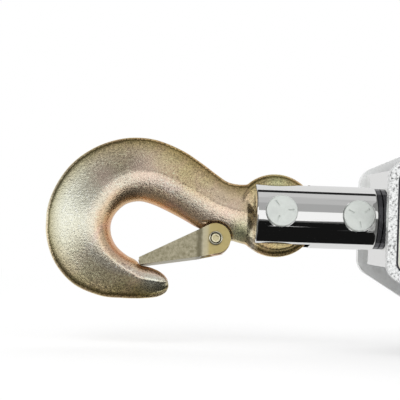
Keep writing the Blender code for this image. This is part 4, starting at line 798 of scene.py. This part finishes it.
def forging_skin():
    """The hook's lofted skin, without its eye."""
    verts, faces = [], []
    for outer_u, outer_v, inner_u, inner_v, thick, ridge in fine_stations():
        inner, outer = Vector((inner_u, inner_v)), Vector((outer_u, outer_v))
        width = (outer - inner).length
        half = half_section(width, thick / 2, ridge)
        for distance, height in half + [(d, -h) for d, h in reversed(half)]:
            u, v = inner.lerp(outer, distance / width)
            verts.append((u, height, v))
    count = 2 * len(half)
    rings = len(verts) // count
    for ring in range(rings - 1):
        for i in range(count):
            k = (i + 1) % count
            faces.append((ring * count + i, ring * count + k, (ring + 1) * count + k,
                          (ring + 1) * count + i))
    faces += [tuple(range(count)), tuple(range((rings - 1) * count, rings * count))]
    mesh = bpy.data.meshes.new("forging")
    mesh.from_pydata(verts, [], faces)
    return face_outwards(link("forging", mesh))


def eye_blank():
    """The hook's flat eye, drafted towards the parting line."""
    half = [(RIM_LAND, EYE_RADIUS), (FLANGE_HALF * 0.85, EYE_RADIUS - 0.3 * MM),
            (FLANGE_HALF, EYE_RADIUS - 0.9 * MM), (FLANGE_HALF * 1.15, EYE_FACE_RADIUS + 0.9 * MM),
            (EYE_HALF - 0.4 * MM, EYE_FACE_RADIUS), (EYE_HALF, EYE_FACE_RADIUS - 0.6 * MM)]
    return settle(lathe(mirrored(half), 96), ACROSS)


def mark_forging(thing):
    """Store how far each point lies from the inner edge and from the outline, its plating, and
    where a highlight is painted.
    """
    stations = fine_stations()
    tree = KDTree(len(stations) * (MARK_STEPS + 1))
    shares, depths = [], []
    for outer_u, outer_v, inner_u, inner_v, _, _ in stations:
        inner, outer = Vector((inner_u, 0, inner_v)), Vector((outer_u, 0, outer_v))
        for i in range(MARK_STEPS + 1):
            share = i / MARK_STEPS
            tree.insert(inner.lerp(outer, share), len(shares))
            shares.append(share)
            depths.append((1 - share) * (outer - inner).length)
    tree.balance()
    places = [Vector((vert.co.x, 0, vert.co.z)) for vert in thing.data.vertices]
    nearest = [tree.find(place)[1] for place in places]
    in_eye = [min(1, max(0, (place.x - EYE_TONE_START) / EYE_TONE_RUN)) for place in places]
    write_mark(thing, "across", [shares[i] + (EYE_TONE - shares[i]) * share
                                 for i, share in zip(nearest, in_eye)])
    inside = []
    for place, i in zip(places, nearest):
        in_body = depths[i] if place.x < HOOK_STATIONS[-1][0][0] else 0
        inside.append(max(0, EYE_RADIUS - place.length, in_body) / RIM_SHADE_REACH)
    write_mark(thing, "inside", inside)
    # pale marks where a highlight is painted; rosy and green are the plating's own colours.
    for name, spots in (("pale", PAINTED_HIGHLIGHT_SPOTS), ("rosy", ROSY_SPOTS), ("green", GREEN_SPOTS)):
        away = [min((place - Vector((u, 0, v))).length / reach for (u, v), reach in spots)
                for place in places]
        write_mark(thing, name, [math.exp(-share * share) for share in away])


def write_mark(thing, name, values):
    """Store one value for each point of a piece, for its finish to read."""
    mark = thing.data.attributes.new(name, "FLOAT", "POINT")
    mark.data.foreach_set("value", values)


def tip_seat():
    """The flat in the hook's point that the shut latch's tip rests on."""
    bend, bottom = Vector(LATCH_BEND), Vector(LATCH_TIP_BOTTOM)
    along = (bottom - bend).normalized()
    out = Vector((-along.y, along.x)) * 0.3 * MM
    low = [bottom + along * 0.4 * MM + out, bottom - along * 8 * MM + out]
    return [tuple(point) for point in (*low, low[1] - out * 25, low[0] - out * 25)]


def forge_hook(name, hole_x, eye_hole, line, body, node):
    """A forged hook with its latch lug and flat eye, its edges run together like a forging's."""
    hook = forging_skin()
    x, z = LATCH_RIVET_AT
    pivot = Matrix.Translation((x, 0, z))
    for side in (-1, 1):
        low, high = span(side, POCKET_FLOOR, 12 * MM)
        cut(hook, rod_across(x, z, LATCH_HEAD_RADIUS + LATCH_ROOM, low, high))
        arm = sheet_blank(latch_outline(LATCH_ROOM), *span(side, ARM_POCKET_FLOOR, 14 * MM))
        cut(hook, settle(arm, pivot @ rotation("Y", LATCH_OPEN_DEG) @ pivot.inverted()))
    cut(hook, sheet_blank(tip_seat(), -PAST_HOOK, PAST_HOOK))
    cut(hook, eye_blank(), "UNION")
    cut(hook, rod_across(x, z, LUG_RADIUS, -LUG_HALF, LUG_HALF), "UNION")
    apply_step(hook, "REMESH", mode="VOXEL", voxel_size=FORGING_VOXEL)
    apply_step(hook, "SMOOTH", factor=0.5, iterations=3)
    cut(hook, rod_across(hole_x, 0, eye_hole, -PAST_HOOK, PAST_HOOK, 64))
    cut(hook, rod_across(x, z, RIVET_RADIUS + FIT_ROOM, -PAST_HOOK, PAST_HOOK, 32))
    mark_forging(hook)
    alone(hook)
    bpy.ops.object.shade_smooth_by_angle(angle=math.radians(60))
    return put(settle(hook, line), name, body, FORGED, node)


# ---- spring latches --------------------------------------------------------------------------

def latch_outline(grow=0.0):
    """The latch's side view: a round head and a tapering arm."""
    x, z = LATCH_RIVET_AT
    arm_deg = math.degrees(math.atan2(LATCH_TIP_TOP[1] - z, LATCH_TIP_TOP[0] - x)) % 360
    head = arc(x, z, LATCH_HEAD_RADIUS + grow, -62, arm_deg - 82, 40)
    return head + [(LATCH_TIP_TOP[0] - grow, LATCH_TIP_TOP[1] + grow),
                   (LATCH_TIP_BOTTOM[0] - grow, LATCH_TIP_BOTTOM[1] - grow),
                   (LATCH_BEND[0], LATCH_BEND[1] - grow), (LATCH_HEEL[0], LATCH_HEEL[1] - grow)]


def press_latch(name, line, body, node):
    """A latch pressed from sheet: two cheeks and a web along the lower edge of its arm."""
    outer = LATCH_INNER_HALF + LATCH_SHEET
    thing = sheet_blank(latch_outline(), -outer, outer)
    x, z = LATCH_RIVET_AT
    far = LATCH_HEAD_RADIUS * 3
    tip_x, tip_z = LATCH_TIP_BOTTOM
    bend_x, bend_z = LATCH_BEND
    inside = [(tip_x - far, tip_z + LATCH_SHEET), (tip_x, tip_z + LATCH_SHEET),
              (bend_x + LATCH_SHEET, bend_z + LATCH_SHEET), (bend_x + LATCH_SHEET, bend_z - far),
              (x + far, z - far), (x + far, z + far), (tip_x - far, z + far)]
    soften(thing, 0.7 * MM, 3)
    cut(thing, sheet_blank(inside, -LATCH_INNER_HALF, LATCH_INNER_HALF))
    cut(thing, rod_across(x, z, RIVET_RADIUS + FIT_ROOM, -far, far, 32))
    write_mark(thing, "arm", [(x - vert.co.x) / LATCH_FADE for vert in thing.data.vertices])
    return put(settle(smooth(thing), line), name, body, LATCH, node)


def press_rivet(name, line, body, node):
    """A flared rivet: a rolled rim round a six-sided hole."""
    x, z = LATCH_RIVET_AT
    seat = LATCH_INNER_HALF + LATCH_SHEET + FIT_ROOM
    top = seat + 1.1 * MM
    half = [(seat, RIVET_RADIUS), (seat, 3.3 * MM), (seat + 0.35 * MM, 3.5 * MM)]
    half += [(top + rise, radius) for rise, radius in mm(
        (-0.35, 3.45), (-0.06, 3.2), (0, 2.95), (-0.15, 2.7), (-1.3, 2.6), (-1.3, 2.3),
        (-0.4, 2.1), (-0.4, 1.9))]
    thing = settle(lathe(mirrored(half), 48), Matrix.Translation((x, 0, z)) @ ACROSS)
    for side in (-1, 1):
        cut(thing, rod_across(x, z, 1.7 * MM, *span(side, top - 2 * MM, top * 2), 6))
    smooth(thing, 40)
    write_mark(thing, "radial", [math.hypot(vert.co.x - x, vert.co.z - z) / RIVET_SPREAD
                                 for vert in thing.data.vertices])
    return put(settle(thing, line), name, body, RIVET, node)


def make_hook(prefix, hole_x, eye_hole, line):
    """A hook with its latch and rivet; the latch's spring is the CAD model's."""
    forge_hook(f"{prefix}_forging", hole_x, eye_hole, line, f"{prefix}_hook_body", f"{prefix}_hook")
    press_latch(f"{prefix}_pressed_latch", line, f"{prefix}_latch_body", f"{prefix}_latch")
    press_rivet(f"{prefix}_flared_rivet", line, f"{prefix}_hook_body", f"{prefix}_latch_rivet")


# ---- swivel ----------------------------------------------------------------------------------

def swivel_barrel():
    """The chrome tube, slotted for the hook's eye, with a seat for each pin's head."""
    edge = 0.8 * MM
    profile = [(TUBE_START, TUBE_BORE), (TUBE_END, TUBE_BORE), (TUBE_END, TUBE_RADIUS - edge),
               (TUBE_END - edge * 0.3, TUBE_RADIUS - edge * 0.3), (TUBE_END - edge, TUBE_RADIUS),
               (TUBE_START + edge, TUBE_RADIUS),
               (TUBE_START + edge * 0.3, TUBE_RADIUS - edge * 0.3),
               (TUBE_START, TUBE_RADIUS - edge)]
    tube = settle(lathe(profile, 128, closed=True), ALONG)
    cut(tube, rod_across(0, 0, SLOT_RADIUS, -SLOT_HALF, SLOT_HALF, 96))
    for x, degrees in ((HOOK_PIN_X, 0), (SHANK_PIN_X, SHANK_PIN_TURN_DEG)):
        turn = rotation("X", degrees)
        cut(tube, settle(rod_across(x, 0, PIN_SHANK + FIT_ROOM, -THROUGH, THROUGH), turn))
        for side in (-1, 1):
            seat = rod_across(x, 0, PIN_HEAD + FIT_ROOM, *span(side, PIN_SEAT, THROUGH), 64)
            cut(tube, settle(seat, turn))
    settle(smooth(tube, 30), SWIVEL_LINE)
    put(tube, "swivel_barrel", "swivel", CHROME, "swivel_tube")


def pin_with_heads(name, x, tilt_deg, dash_deg, node):
    """A pin across the barrel; each flat head keeps the three dashes of its die."""
    seat, edge, dash_at = PIN_SEAT + FIT_ROOM, 0.6 * MM, 4.4 * MM
    half = [(seat, PIN_SHANK), (seat, PIN_HEAD), (PIN_TOP - edge, PIN_HEAD),
            (PIN_TOP - edge * 0.3, PIN_HEAD - edge * 0.3), (PIN_TOP, PIN_HEAD - edge)]
    pin = settle(lathe(mirrored(half), 96), ACROSS)
    for side in (-1, 1):
        for dash in range(3):
            turn = math.radians(dash_deg + 120 * dash)
            bpy.ops.mesh.primitive_cube_add(
                size=1, scale=(3.0 * MM, 1.5 * MM, 0.85 * MM),
                location=(dash_at * math.cos(turn), side * PIN_TOP, dash_at * math.sin(turn)),
                rotation=(0, -turn, 0))
            cut(pin, settle(bpy.context.object))
    place = SWIVEL_LINE @ Matrix.Translation((x, 0, 0)) @ rotation("X", tilt_deg)
    put(settle(smooth(pin, 30), place), name, "swivel", PIN_ZINC, node)


def make_swivel():
    """The barrel and its pins."""
    swivel_barrel()
    pin_with_heads("hook_pin_headed", HOOK_PIN_X, 0, 5, "hook_pin")
    pin_with_heads("shank_pin_headed", SHANK_PIN_X, SHANK_PIN_TURN_DEG, 35, "shank_pin")


# ---- frame -----------------------------------------------------------------------------------

def plate_outline():
    """The side plate: a narrow end at the swivel, a boss round the axle and a flat foot."""
    top_run = (PLATE_TOP - NOSE_TOP) / TOP_FLARE
    foot_run = (NOSE_BOTTOM - PLATE_BOTTOM) / BOTTOM_FLARE
    boss = arc(0, 0, PLATE_TOP, 90, BOSS_END_DEG, 24)
    foot = rounded([
        (*boss[-1], 0.1 * MM),
        (PLATE_RIGHT, PLATE_SHOULDER, PLATE_CORNER),
        (PLATE_RIGHT, PLATE_BOTTOM, PLATE_CORNER),
        (PLATE_LEFT + foot_run, PLATE_BOTTOM, PLATE_CORNER),
        (PLATE_LEFT, NOSE_BOTTOM, NOSE_CORNER),
        (PLATE_LEFT, NOSE_TOP, NOSE_CORNER),
        (PLATE_LEFT + top_run, PLATE_TOP, PLATE_CORNER * 2),
    ])
    return boss[:-1] + foot[9:]


def side_plates():
    """Both plates, with their holes and a fine rounded edge."""
    holes = [(0, 0, AXLE_BORE), (*STOP_STUD, 3.3 * MM), (*STOP_PIVOT, 4.3 * MM)]
    holes += [(x, z, 3.5 * MM) for x, z, _ in TIE_RODS]
    for (side, label), look in zip(SIDES, (PLATE, SMOOTH_PLATE)):
        low, high = span(side, PLATE_INNER, PLATE_OUTER)
        plate = drill(sheet_blank(plate_outline(), low, high), holes, low, high)
        smooth(soften(plate, 0.55 * MM))
        put(at_axle(plate), f"frame_plate_{label}", "frame", look, f"side_plate_{label}")


def label_panel():
    """A bare label on the front plate: pale, with a dark rounded border."""
    for name, inset, skin, look in (("label_border", 0, 0.12 * MM, LABEL_EDGE),
                                    ("label_face", LABEL_BORDER, 0.2 * MM, LABEL_FACE)):
        room = LABEL_INSET + inset
        left, right = PLATE_LEFT + room, LABEL_RIGHT - inset
        corner = LABEL_CORNER - inset
        outline = []
        for x, edge, flare, sign in ((left, NOSE_TOP, TOP_FLARE, 1),
                                     (right, NOSE_TOP, TOP_FLARE, 1),
                                     (right, NOSE_BOTTOM, BOTTOM_FLARE, -1),
                                     (left, NOSE_BOTTOM, BOTTOM_FLARE, -1)):
            z = edge + sign * (flare * (x - PLATE_LEFT) - room * math.hypot(1, flare))
            outline.append((x, z, corner))
        panel = sheet_blank(rounded(outline), -PLATE_OUTER - skin, -PLATE_OUTER)
        put(smooth(at_axle(panel)), name, "frame", look)


def hexagon(low, high, radius, bore=None):
    """A hexagon across the tool with both its ends chamfered, and a bore if it is a nut."""
    thing = rod_across(0, 0, radius, low, high, 6)
    flat, wide, rise = radius * 0.9, radius * 1.01, radius * 0.08
    cone = lathe([(-high - 1e-4, flat), (-high + rise, wide), (-low - rise, wide),
                  (-low + 1e-4, flat)], 96)
    cut(thing, settle(cone, ACROSS), "INTERSECT")
    if bore:
        drill(thing, [(0, 0, bore)], low, high)
    return smooth(thing, 25)


def make_axle():
    """The axle's bolt, with rings of thread at its end, its nut and washers."""
    seat, head, end, chamfer = 45.4 * MM, 54.4 * MM, 54.3 * MM, 0.9 * MM
    pitch, root = 1.25 * MM, AXLE_RADIUS - 0.6 * MM
    shank = [(-end, AXLE_RADIUS - 1.1 * MM), (-end + chamfer, AXLE_RADIUS)]
    place = -end + chamfer
    while place < -seat:
        shank += [(place + 0.3 * pitch, AXLE_RADIUS), (place + 0.6 * pitch, root),
                  (place + 0.7 * pitch, root), (place + pitch, AXLE_RADIUS)]
        place += pitch
    shank.append((seat + 3 * MM, AXLE_RADIUS))
    bolt = cut(hexagon(-head, -seat, AXLE_HEX), settle(lathe(shank), ACROSS), "UNION")
    put(at_axle(smooth(bolt, 25)), "axle_bolt_threaded", "frame", BOLT_ZINC, "axle_bolt")
    nut = hexagon(seat, 52.4 * MM, AXLE_HEX, 8.25 * MM)
    put(at_axle(nut), "axle_nut_chamfered", "frame", BOLT_ZINC, "axle_nut")
    for side, label in SIDES:
        ring_across(f"axle_washer_{label}_ring", f"axle_washer_{label}", "frame", BOLT_ZINC,
                    (0, 0), *span(side, 43.1 * MM, 45.1 * MM), AXLE_BORE, 15 * MM)


def make_frame():
    """The frame's plates, label, rods, studs and axle."""
    side_plates()
    label_panel()
    refined("end_plate_polished", "swivel_end_plate", "frame", END_PLATE, 0.5 * MM, 3)
    rod = mirrored(mm((32.7, 5), (32.7, 3.2), (38.3, 3.2), (38.3, 7.5), (40.3, 7.4), (41.6, 6.3),
                      (42.3, 4.2)))
    for x, z, label in TIE_RODS:
        turned_across(f"tie_rod_{label}_riveted", f"tie_rod_{label}", "frame", BOLT_ZINC, (x, z),
                      rod)
    stud = mm((31.2, 4.4), (31.3, 4.5), (32.7, 4.5), (32.7, 3), (38.3, 3), (38.3, 6), (43.8, 6))
    for side, label in SIDES:
        turned_across(f"stop_stud_{label}_turned", f"handle_stop_stud_{label}", "frame",
                      BOLT_ZINC, STOP_STUD, [(-side * height, radius) for height, radius in stud],
                      0.4 * MM)
    make_axle()


# ---- drum and rope ---------------------------------------------------------------------------

def make_drum():
    """The spool between its ratchet wheels, with bolts and bush."""
    bolts = [(x, z, 3.3 * MM) for x, z in WHEEL_BOLTS]
    half = 20.2 * MM
    spool = rod_across(0, 0, 27.2 * MM, -half, half, 96)
    drill(spool, [(0, 0, 12.3 * MM), *bolts], -half, half)
    put(at_axle(smooth(spool)), "spool_turned", "drum", CAST, "drum_spool")
    for _, label in SIDES:
        refined(f"ratchet_{label}_bevelled", f"ratchet_wheel_{label}", "drum", CAST, 0.45 * MM)
    ring_across("drum_bush_ring", "drum_bush", "drum", BRONZE, (0, 0), -32.2 * MM, 32.2 * MM,
                AXLE_BORE, 12 * MM)
    profile = mirrored(mm((27.8, 3), (27.8, 5), (29.6, 5), (30.8, 3.9)))
    for i, at in enumerate(WHEEL_BOLTS, 1):
        bolt = turned_across(f"wheel_bolt_{i}_socketed", f"wheel_bolt_{i}", "drum", BOLT_ZINC, at,
                             profile, 0.2 * MM)
        socket_across(bolt, at, 2.3 * MM, 29.2 * MM)


def rope_section():
    """Strands of a wire rope, cut across: each strand shows its outer wires."""
    strand, centre = ROPE_RADIUS / 3, ROPE_RADIUS * 2 / 3
    outline = []
    for i in range(STRANDS):
        turn = math.tau * i / STRANDS
        for k in range(2 * STRAND_WIRES + 1):
            spoke = turn + math.radians(-112 + 224 * k / (2 * STRAND_WIRES))
            radius = strand * (0.99 if k % 2 else 0.87)
            outline.append((centre * math.cos(turn) + radius * math.cos(spoke),
                            centre * math.sin(turn) + radius * math.sin(spoke)))
    return outline


def round_section(radius, sides=12):
    """A round wire, cut across."""
    return [(radius * math.cos(math.tau * i / sides), radius * math.sin(math.tau * i / sides))
            for i in range(sides)]


def stepped(points, step):
    """The same path with a point every step or less."""
    path = [Vector(points[0])]
    for first, last in zip(points, points[1:]):
        count = max(1, math.ceil(math.dist(first, last) / step))
        path += [Vector(first).lerp(Vector(last), (i + 1) / count) for i in range(count)]
    return path


def coil(radius, pitch, turns, low, start_deg, step_deg):
    """Points of a coil round the Y axis, from y = low."""
    count = round(turns * 360 / step_deg)
    return [(radius * math.cos(math.radians(start_deg + step_deg * i)),
             low + pitch * i * step_deg / 360,
             radius * math.sin(math.radians(start_deg + step_deg * i)))
            for i in range(count + 1)]


def lay_rope(name, points, place, body, *nodes):
    """Stranded rope along a path."""
    length = sum(math.dist(a, b) for a, b in zip(points, points[1:]))
    rope = settle(swept(points, rope_section(), length / ROPE_LAY), place)
    return put(rope, name, body, ROPE_WIRE, *nodes)


def teardrop(offset):
    """The rope's path round the thimble, in the rope's own frame, offset outwards."""
    centre = ROPE_NOSE - THIMBLE_BEND
    lean = math.atan2(THIMBLE_BEND - ROPE_SPACE, THIMBLE_LENGTH)
    bend = arc(centre, 0, THIMBLE_BEND + offset, 90 + math.degrees(lean),
               -90 - math.degrees(lean), 40)
    apex = centre - THIMBLE_LENGTH
    rise = ROPE_SPACE + offset / math.cos(lean)
    return [(apex, rise)] + bend + [(apex, -rise)]


def make_rope():
    """Rope on the drum, round the thimble, through the ferrule and between them."""
    leave_deg = math.degrees(math.atan2(ROPE_ALONG.z, ROPE_ALONG.x)) - 90
    wound = coil(WIND_RADIUS, WIND_PITCH, WIND_TURNS, WIND_START_Y, leave_deg, 3.5)
    lay_rope("rope_on_drum", wound, Matrix.Translation((AXLE.x, 0, AXLE.z)), "drum", "wound_rope")
    apex = ROPE_NOSE - THIMBLE_BEND - THIMBLE_LENGTH
    straight = 2 * ROPE_RADIUS
    eye = [(apex - straight, ROPE_SPACE), *teardrop(0), (apex - straight, -ROPE_SPACE)]
    eye = stepped([(x, 0, z) for x, z in eye], ROPE_STEP)
    lay_rope("rope_round_thimble", eye, ROPE_LINE, "rope_end", "rope_eye")
    end = apex - straight - ROPE_GAP
    start = end - FERRULE_LENGTH
    wall = 1.4 * MM
    tall = (ROPE_SPACE + ROPE_RADIUS + wall) / (ROPE_RADIUS + wall)
    rise = mm((0, 3.55), (0.4, 3.75), (1.2, 3.9))
    ferrule = lathe([(start + height, radius) for height, radius in rise]
                    + [(end - height, radius) for height, radius in reversed(rise)])
    settle(smooth(ferrule), Matrix.Diagonal((1, 1, tall, 1)) @ ALONG)
    put(settle(ferrule, ROPE_LINE), "ferrule_pressed", "rope_end", CAST, "ferrule")
    refined("thimble_rolled", "thimble", "rope_end", BOLT_ZINC, 0.25 * MM)
    length = start - 2 * ROPE_GAP
    free = stepped([(ROPE_GAP, 0, 0), (ROPE_GAP + length, 0, 0)], ROPE_STEP / 2)
    rope = settle(swept(free, rope_section(), length / ROPE_LAY), ROPE_LINE)
    slot, finish = ROPE_WIRE
    rope.name = rope.data.name = "rope_run"
    rope.data.materials.append(finish)
    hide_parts("free_rope")
    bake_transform(rope)


# ---- handle and pawls ------------------------------------------------------------------------

def make_handle():
    """Fork, tube, bolts and a ribbed grip with a hanging hole's collar."""
    for _, label in SIDES:
        refined(f"fork_{label}_pressed", f"handle_fork_{label}", "handle", PLATE, 0.5 * MM, 3)
    along = Matrix.Translation((AXLE.x, 0, AXLE.z)) @ ALONG
    profile = mm((110, 10.3), (455.7, 10.3), (455.7, 12.5), (110.4, 12.5), (110, 12.1))
    tube = settle(lathe(profile, 96, closed=True), along)
    for x in HANDLE_BOLTS:
        cut(tube, at_axle(rod_across(x, 0, 3.8 * MM, -THROUGH, THROUGH)))
    put(smooth(tube), "handle_tube_turned", "handle", BOLT_ZINC, "handle_tube")
    grip = mm((330, 12.8), (456, 12.8), (456, 2), (460, 2), (460, 13.2), (459, 14.8), (457, 15.9),
              (450, 16))
    for place in range(448, 346, -6):
        grip += mm((place, 16), (place - 0.8, 14.9), (place - 2.2, 14.9), (place - 3, 16))
    grip += mm((338, 16), (335.5, 17.4), (333, 18), (331, 17.2), (330, 15.8))
    grip = settle(lathe(grip, closed=True), along)
    put(smooth(grip), "grip_ribbed", "handle", RUBBER, "handle_grip")
    profile = mirrored(mm((17.1, 3.5), (17.1, 6), (19.9, 6), (21.1, 4.6)))
    for i, x in enumerate(HANDLE_BOLTS, 1):
        bolt = turned_across(f"handle_bolt_{i}_socketed", f"handle_bolt_{i}", "handle", BOLT_ZINC,
                             (x, 0), profile)
        socket_across(bolt, (x, 0), 2.9 * MM, 19.2 * MM)


def make_pawl(prefix, pivot, body, holder, seat, reach):
    """A pawl with its pin, spring and sleeves."""
    refined(f"{prefix}_bevelled", prefix, body, CAST, 0.6 * MM)
    half = [(seat, 4 * MM), (seat, 6 * MM)]
    half += [(seat + rise, radius) for rise, radius in mm((1.2, 5.6), (2.2, 4.2), (2.5, 2.4))]
    turned_across(f"{prefix}_pin_riveted", f"{prefix}_pin", holder, BOLT_ZINC, pivot,
                  mirrored(half))
    wire = coil(6 * MM, 1.6 * MM, 3, -32.2 * MM, -90, 10)
    place = Matrix.Translation((pivot[0], 0, pivot[1]))
    spring = settle(swept(wire, round_section(0.59 * MM)), place)
    put(at_axle(spring), f"{prefix}_spring_coil", holder, SPRING_WIRE, f"{prefix}_spring")
    for side, label in SIDES:
        ring_across(f"{prefix}_sleeve_{label}", f"{prefix}_spacer_{label}", holder, BOLT_ZINC,
                    pivot, *span(side, 26.5 * MM, reach - FIT_ROOM), 4.3 * MM, 5 * MM)


def make_pawls():
    """The stop pawl in the frame and the drive pawl in the fork."""
    make_pawl("stop_pawl", STOP_PIVOT, "stop_pawl_body", "frame", 38.3 * MM, PLATE_INNER)
    make_pawl("drive_pawl", DRIVE_PIVOT, "drive_pawl_body", "handle", 43.1 * MM, 38.8 * MM)


# ---- the studio ------------------------------------------------------------------------------

CARD_DISTANCE = 0.9        # from the swivel's axis to each flat
CARD_SPLIT_X = -0.30       # left of it the flats serve the hook, right of it the barrel
LAMP_TARGET = (-0.2, 0, 0.05)
CAMERA_PLACE = (-0.32649, -0.59389, 0.05885)
CAMERA_LENS = 107.4        # on a sensor 36 mm wide
CAMERA_YAW, CAMERA_PITCH, CAMERA_ROLL = 3.56, 1.306, 2.013      # degrees


def floor_material():
    """A pale floor that keeps the shadow and runs into the white background further out."""
    finish = Finish("pale_floor", (0.90, 0.90, 0.90), 0.0, 0.9)
    light_path = finish.node("ShaderNodeLightPath")
    glow = finish.node("ShaderNodeEmission")
    blend = finish.node("ShaderNodeMixShader")
    apart = finish.node("ShaderNodeVectorMath", operation="LENGTH")
    finish.join(finish.place, apart.inputs[0])
    fade = finish.spread(apart.outputs["Value"], 0.6, 1.0, 0.3, 0.9)
    share = finish.maths("MULTIPLY", light_path.outputs["Is Camera Ray"], fade)
    finish.join(share, blend.inputs["Fac"])
    finish.join(finish.surface.outputs["BSDF"], blend.inputs[1])
    finish.join(glow.outputs["Emission"], blend.inputs[2])
    finish.join(blend.outputs["Shader"], finish.tree.nodes["Material Output"].inputs["Surface"])
    return finish.material


def card(name, corners, grey):
    """A flat that only reflections see, as a studio's black or grey flats."""
    mesh = bpy.data.meshes.new(name)
    mesh.from_pydata(corners, [], [tuple(range(len(corners)))])
    flat = link(name, mesh)
    material = bpy.data.materials.new(name)
    material.use_nodes = True
    tree = material.node_tree
    tree.nodes.clear()
    glow = tree.nodes.new("ShaderNodeEmission")
    glow.inputs["Color"].default_value = (grey, grey, grey, 1)
    out = tree.nodes.new("ShaderNodeOutputMaterial")
    tree.links.new(glow.outputs["Emission"], out.inputs["Surface"])
    mesh.materials.append(material)
    for ray in ("camera", "diffuse", "transmission", "volume_scatter", "shadow"):
        setattr(flat, f"visible_{ray}", False)


def long_card(name, near_deg, far_deg, grey, left=-2.5, right=2.5):
    """A flat along the tool, between two elevations that go up from the camera's side."""
    near, far = [(-CARD_DISTANCE * math.cos(math.radians(t)),
                  EYE_CENTRE.z + CARD_DISTANCE * math.sin(math.radians(t)))
                 for t in (near_deg, far_deg)]
    card(name, [(left, *near), (right, *near), (right, *far), (left, *far)], grey)


def lay_floor():
    """A pale floor just below the winch's feet."""
    bpy.ops.mesh.primitive_plane_add(size=12, location=(0, 0, -0.0002))
    floor = bpy.context.object
    floor.name = "floor"
    floor.data.materials.append(floor_material())
    floor.visible_glossy = False


def white_world():
    """White all round, a little dimmer where it lights the winch than where it is seen."""
    world = bpy.data.worlds.new("studio")
    bpy.context.scene.world = world
    world.use_nodes = True
    tree = world.node_tree
    background = tree.nodes["Background"]
    background.inputs["Color"].default_value = (1, 1, 1, 1)
    light_path = tree.nodes.new("ShaderNodeLightPath")
    seen = light_path.outputs["Is Camera Ray"]
    for ray in ("Is Glossy Ray", "Is Transmission Ray"):
        either = tree.nodes.new("ShaderNodeMath")
        either.operation = "MAXIMUM"
        tree.links.new(seen, either.inputs[0])
        tree.links.new(light_path.outputs[ray], either.inputs[1])
        seen = either.outputs[0]
    strength = tree.nodes.new("ShaderNodeMapRange")
    strength.inputs["To Min"].default_value = 0.75
    strength.inputs["To Max"].default_value = 1.0
    tree.links.new(seen, strength.inputs["Value"])
    tree.links.new(strength.outputs["Result"], background.inputs["Strength"])


def stand_flats():
    """The flats that polished metal shows: grey and black in front, pale behind."""
    for low, high, grey in ((17, 46, 0.42), (46, 70, 0.52), (70, 92, 0.62), (92, 105, 0.02),
                            (-15, -21, 0.12)):
        long_card(f"front_flat_{low}", low, high, grey, CARD_SPLIT_X)
    for low, high in ((-21, -64), (-64, -111)):
        long_card(f"black_flat_{-low}", low, high, 0.008, CARD_SPLIT_X)
    for low, high, grey in ((30, 62, 0.28), (62, 106, 0.18), (1, -52, 0.14), (-52, -105, 0.2)):
        long_card(f"hook_flat_{high}", low, high, grey, right=CARD_SPLIT_X)
    for low, high in ((106, 150), (150, 205), (205, 249)):
        long_card(f"pale_flat_{low}", low, high, 0.78)


def hang_lamps():
    """Three soft lamps: a key lamp at the left, one that fills, and one behind."""
    lamps = (("key", (-0.7, -0.9, 1.0), 0.7, 7), ("fill", (0.8, -0.8, 0.7), 0.8, 4),
             ("back", (0.1, 0.9, 1.1), 0.8, 4))
    for name, place, size, power in lamps:
        lamp = bpy.data.lights.new(name, "AREA")
        lamp.size = size
        lamp.energy = power
        thing = link(name, lamp)
        thing.location = place
        thing.rotation_mode = "QUATERNION"
        aim = Vector(LAMP_TARGET) - Vector(place)
        thing.rotation_quaternion = aim.to_track_quat("-Z", "Y")
        thing.visible_glossy = False


def set_camera():
    """The photograph's view: level with the swivel, a little from the left and rolled."""
    yaw, pitch, roll = map(math.radians, (CAMERA_YAW, CAMERA_PITCH, CAMERA_ROLL))
    forward = Vector((math.sin(yaw) * math.cos(pitch), math.cos(yaw) * math.cos(pitch),
                      math.sin(pitch)))
    right = Vector((math.cos(yaw), -math.sin(yaw), 0))
    up = right.cross(forward)
    rolled_right = right * math.cos(roll) + up * math.sin(roll)
    rolled_up = up * math.cos(roll) - right * math.sin(roll)
    data = bpy.data.cameras.new("photograph")
    data.lens = CAMERA_LENS
    data.sensor_width = 36
    data.clip_start = 0.01
    camera = link("photograph", data)
    basis = Matrix((rolled_right, rolled_up, -forward)).transposed().to_4x4()
    camera.matrix_world = Matrix.Translation(CAMERA_PLACE) @ basis
    bpy.context.scene.camera = camera


def dress_cad_nodes():
    """Give the CAD nodes that stay in sight their finish."""
    # The swivel washer takes the near-black finish, a painted dark reflection.
    for name, (_, finish) in (("swivel_washer", PAINTED_DARK_RING), ("swivel_stud", BOLT_ZINC),
                              ("thrust_washer", BRONZE), ("anchor_latch_spring", SPRING_WIRE),
                              ("cable_latch_spring", SPRING_WIRE)):
        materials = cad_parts[name].data.materials
        materials.clear()
        materials.append(finish)


bpy.context.scene.view_settings.view_transform = "Standard"
set_camera()
dress_cad_nodes()
make_hook("anchor", HOOK_PIN_X, ANCHOR_EYE_HOLE, SWIVEL_LINE)
make_hook("cable", 0, CABLE_EYE_HOLE, LOOSE_HOOK_LINE)
make_swivel()
make_frame()
make_drum()
make_rope()
make_handle()
make_pawls()
lay_floor()
white_world()
stand_flats()
hang_lamps()
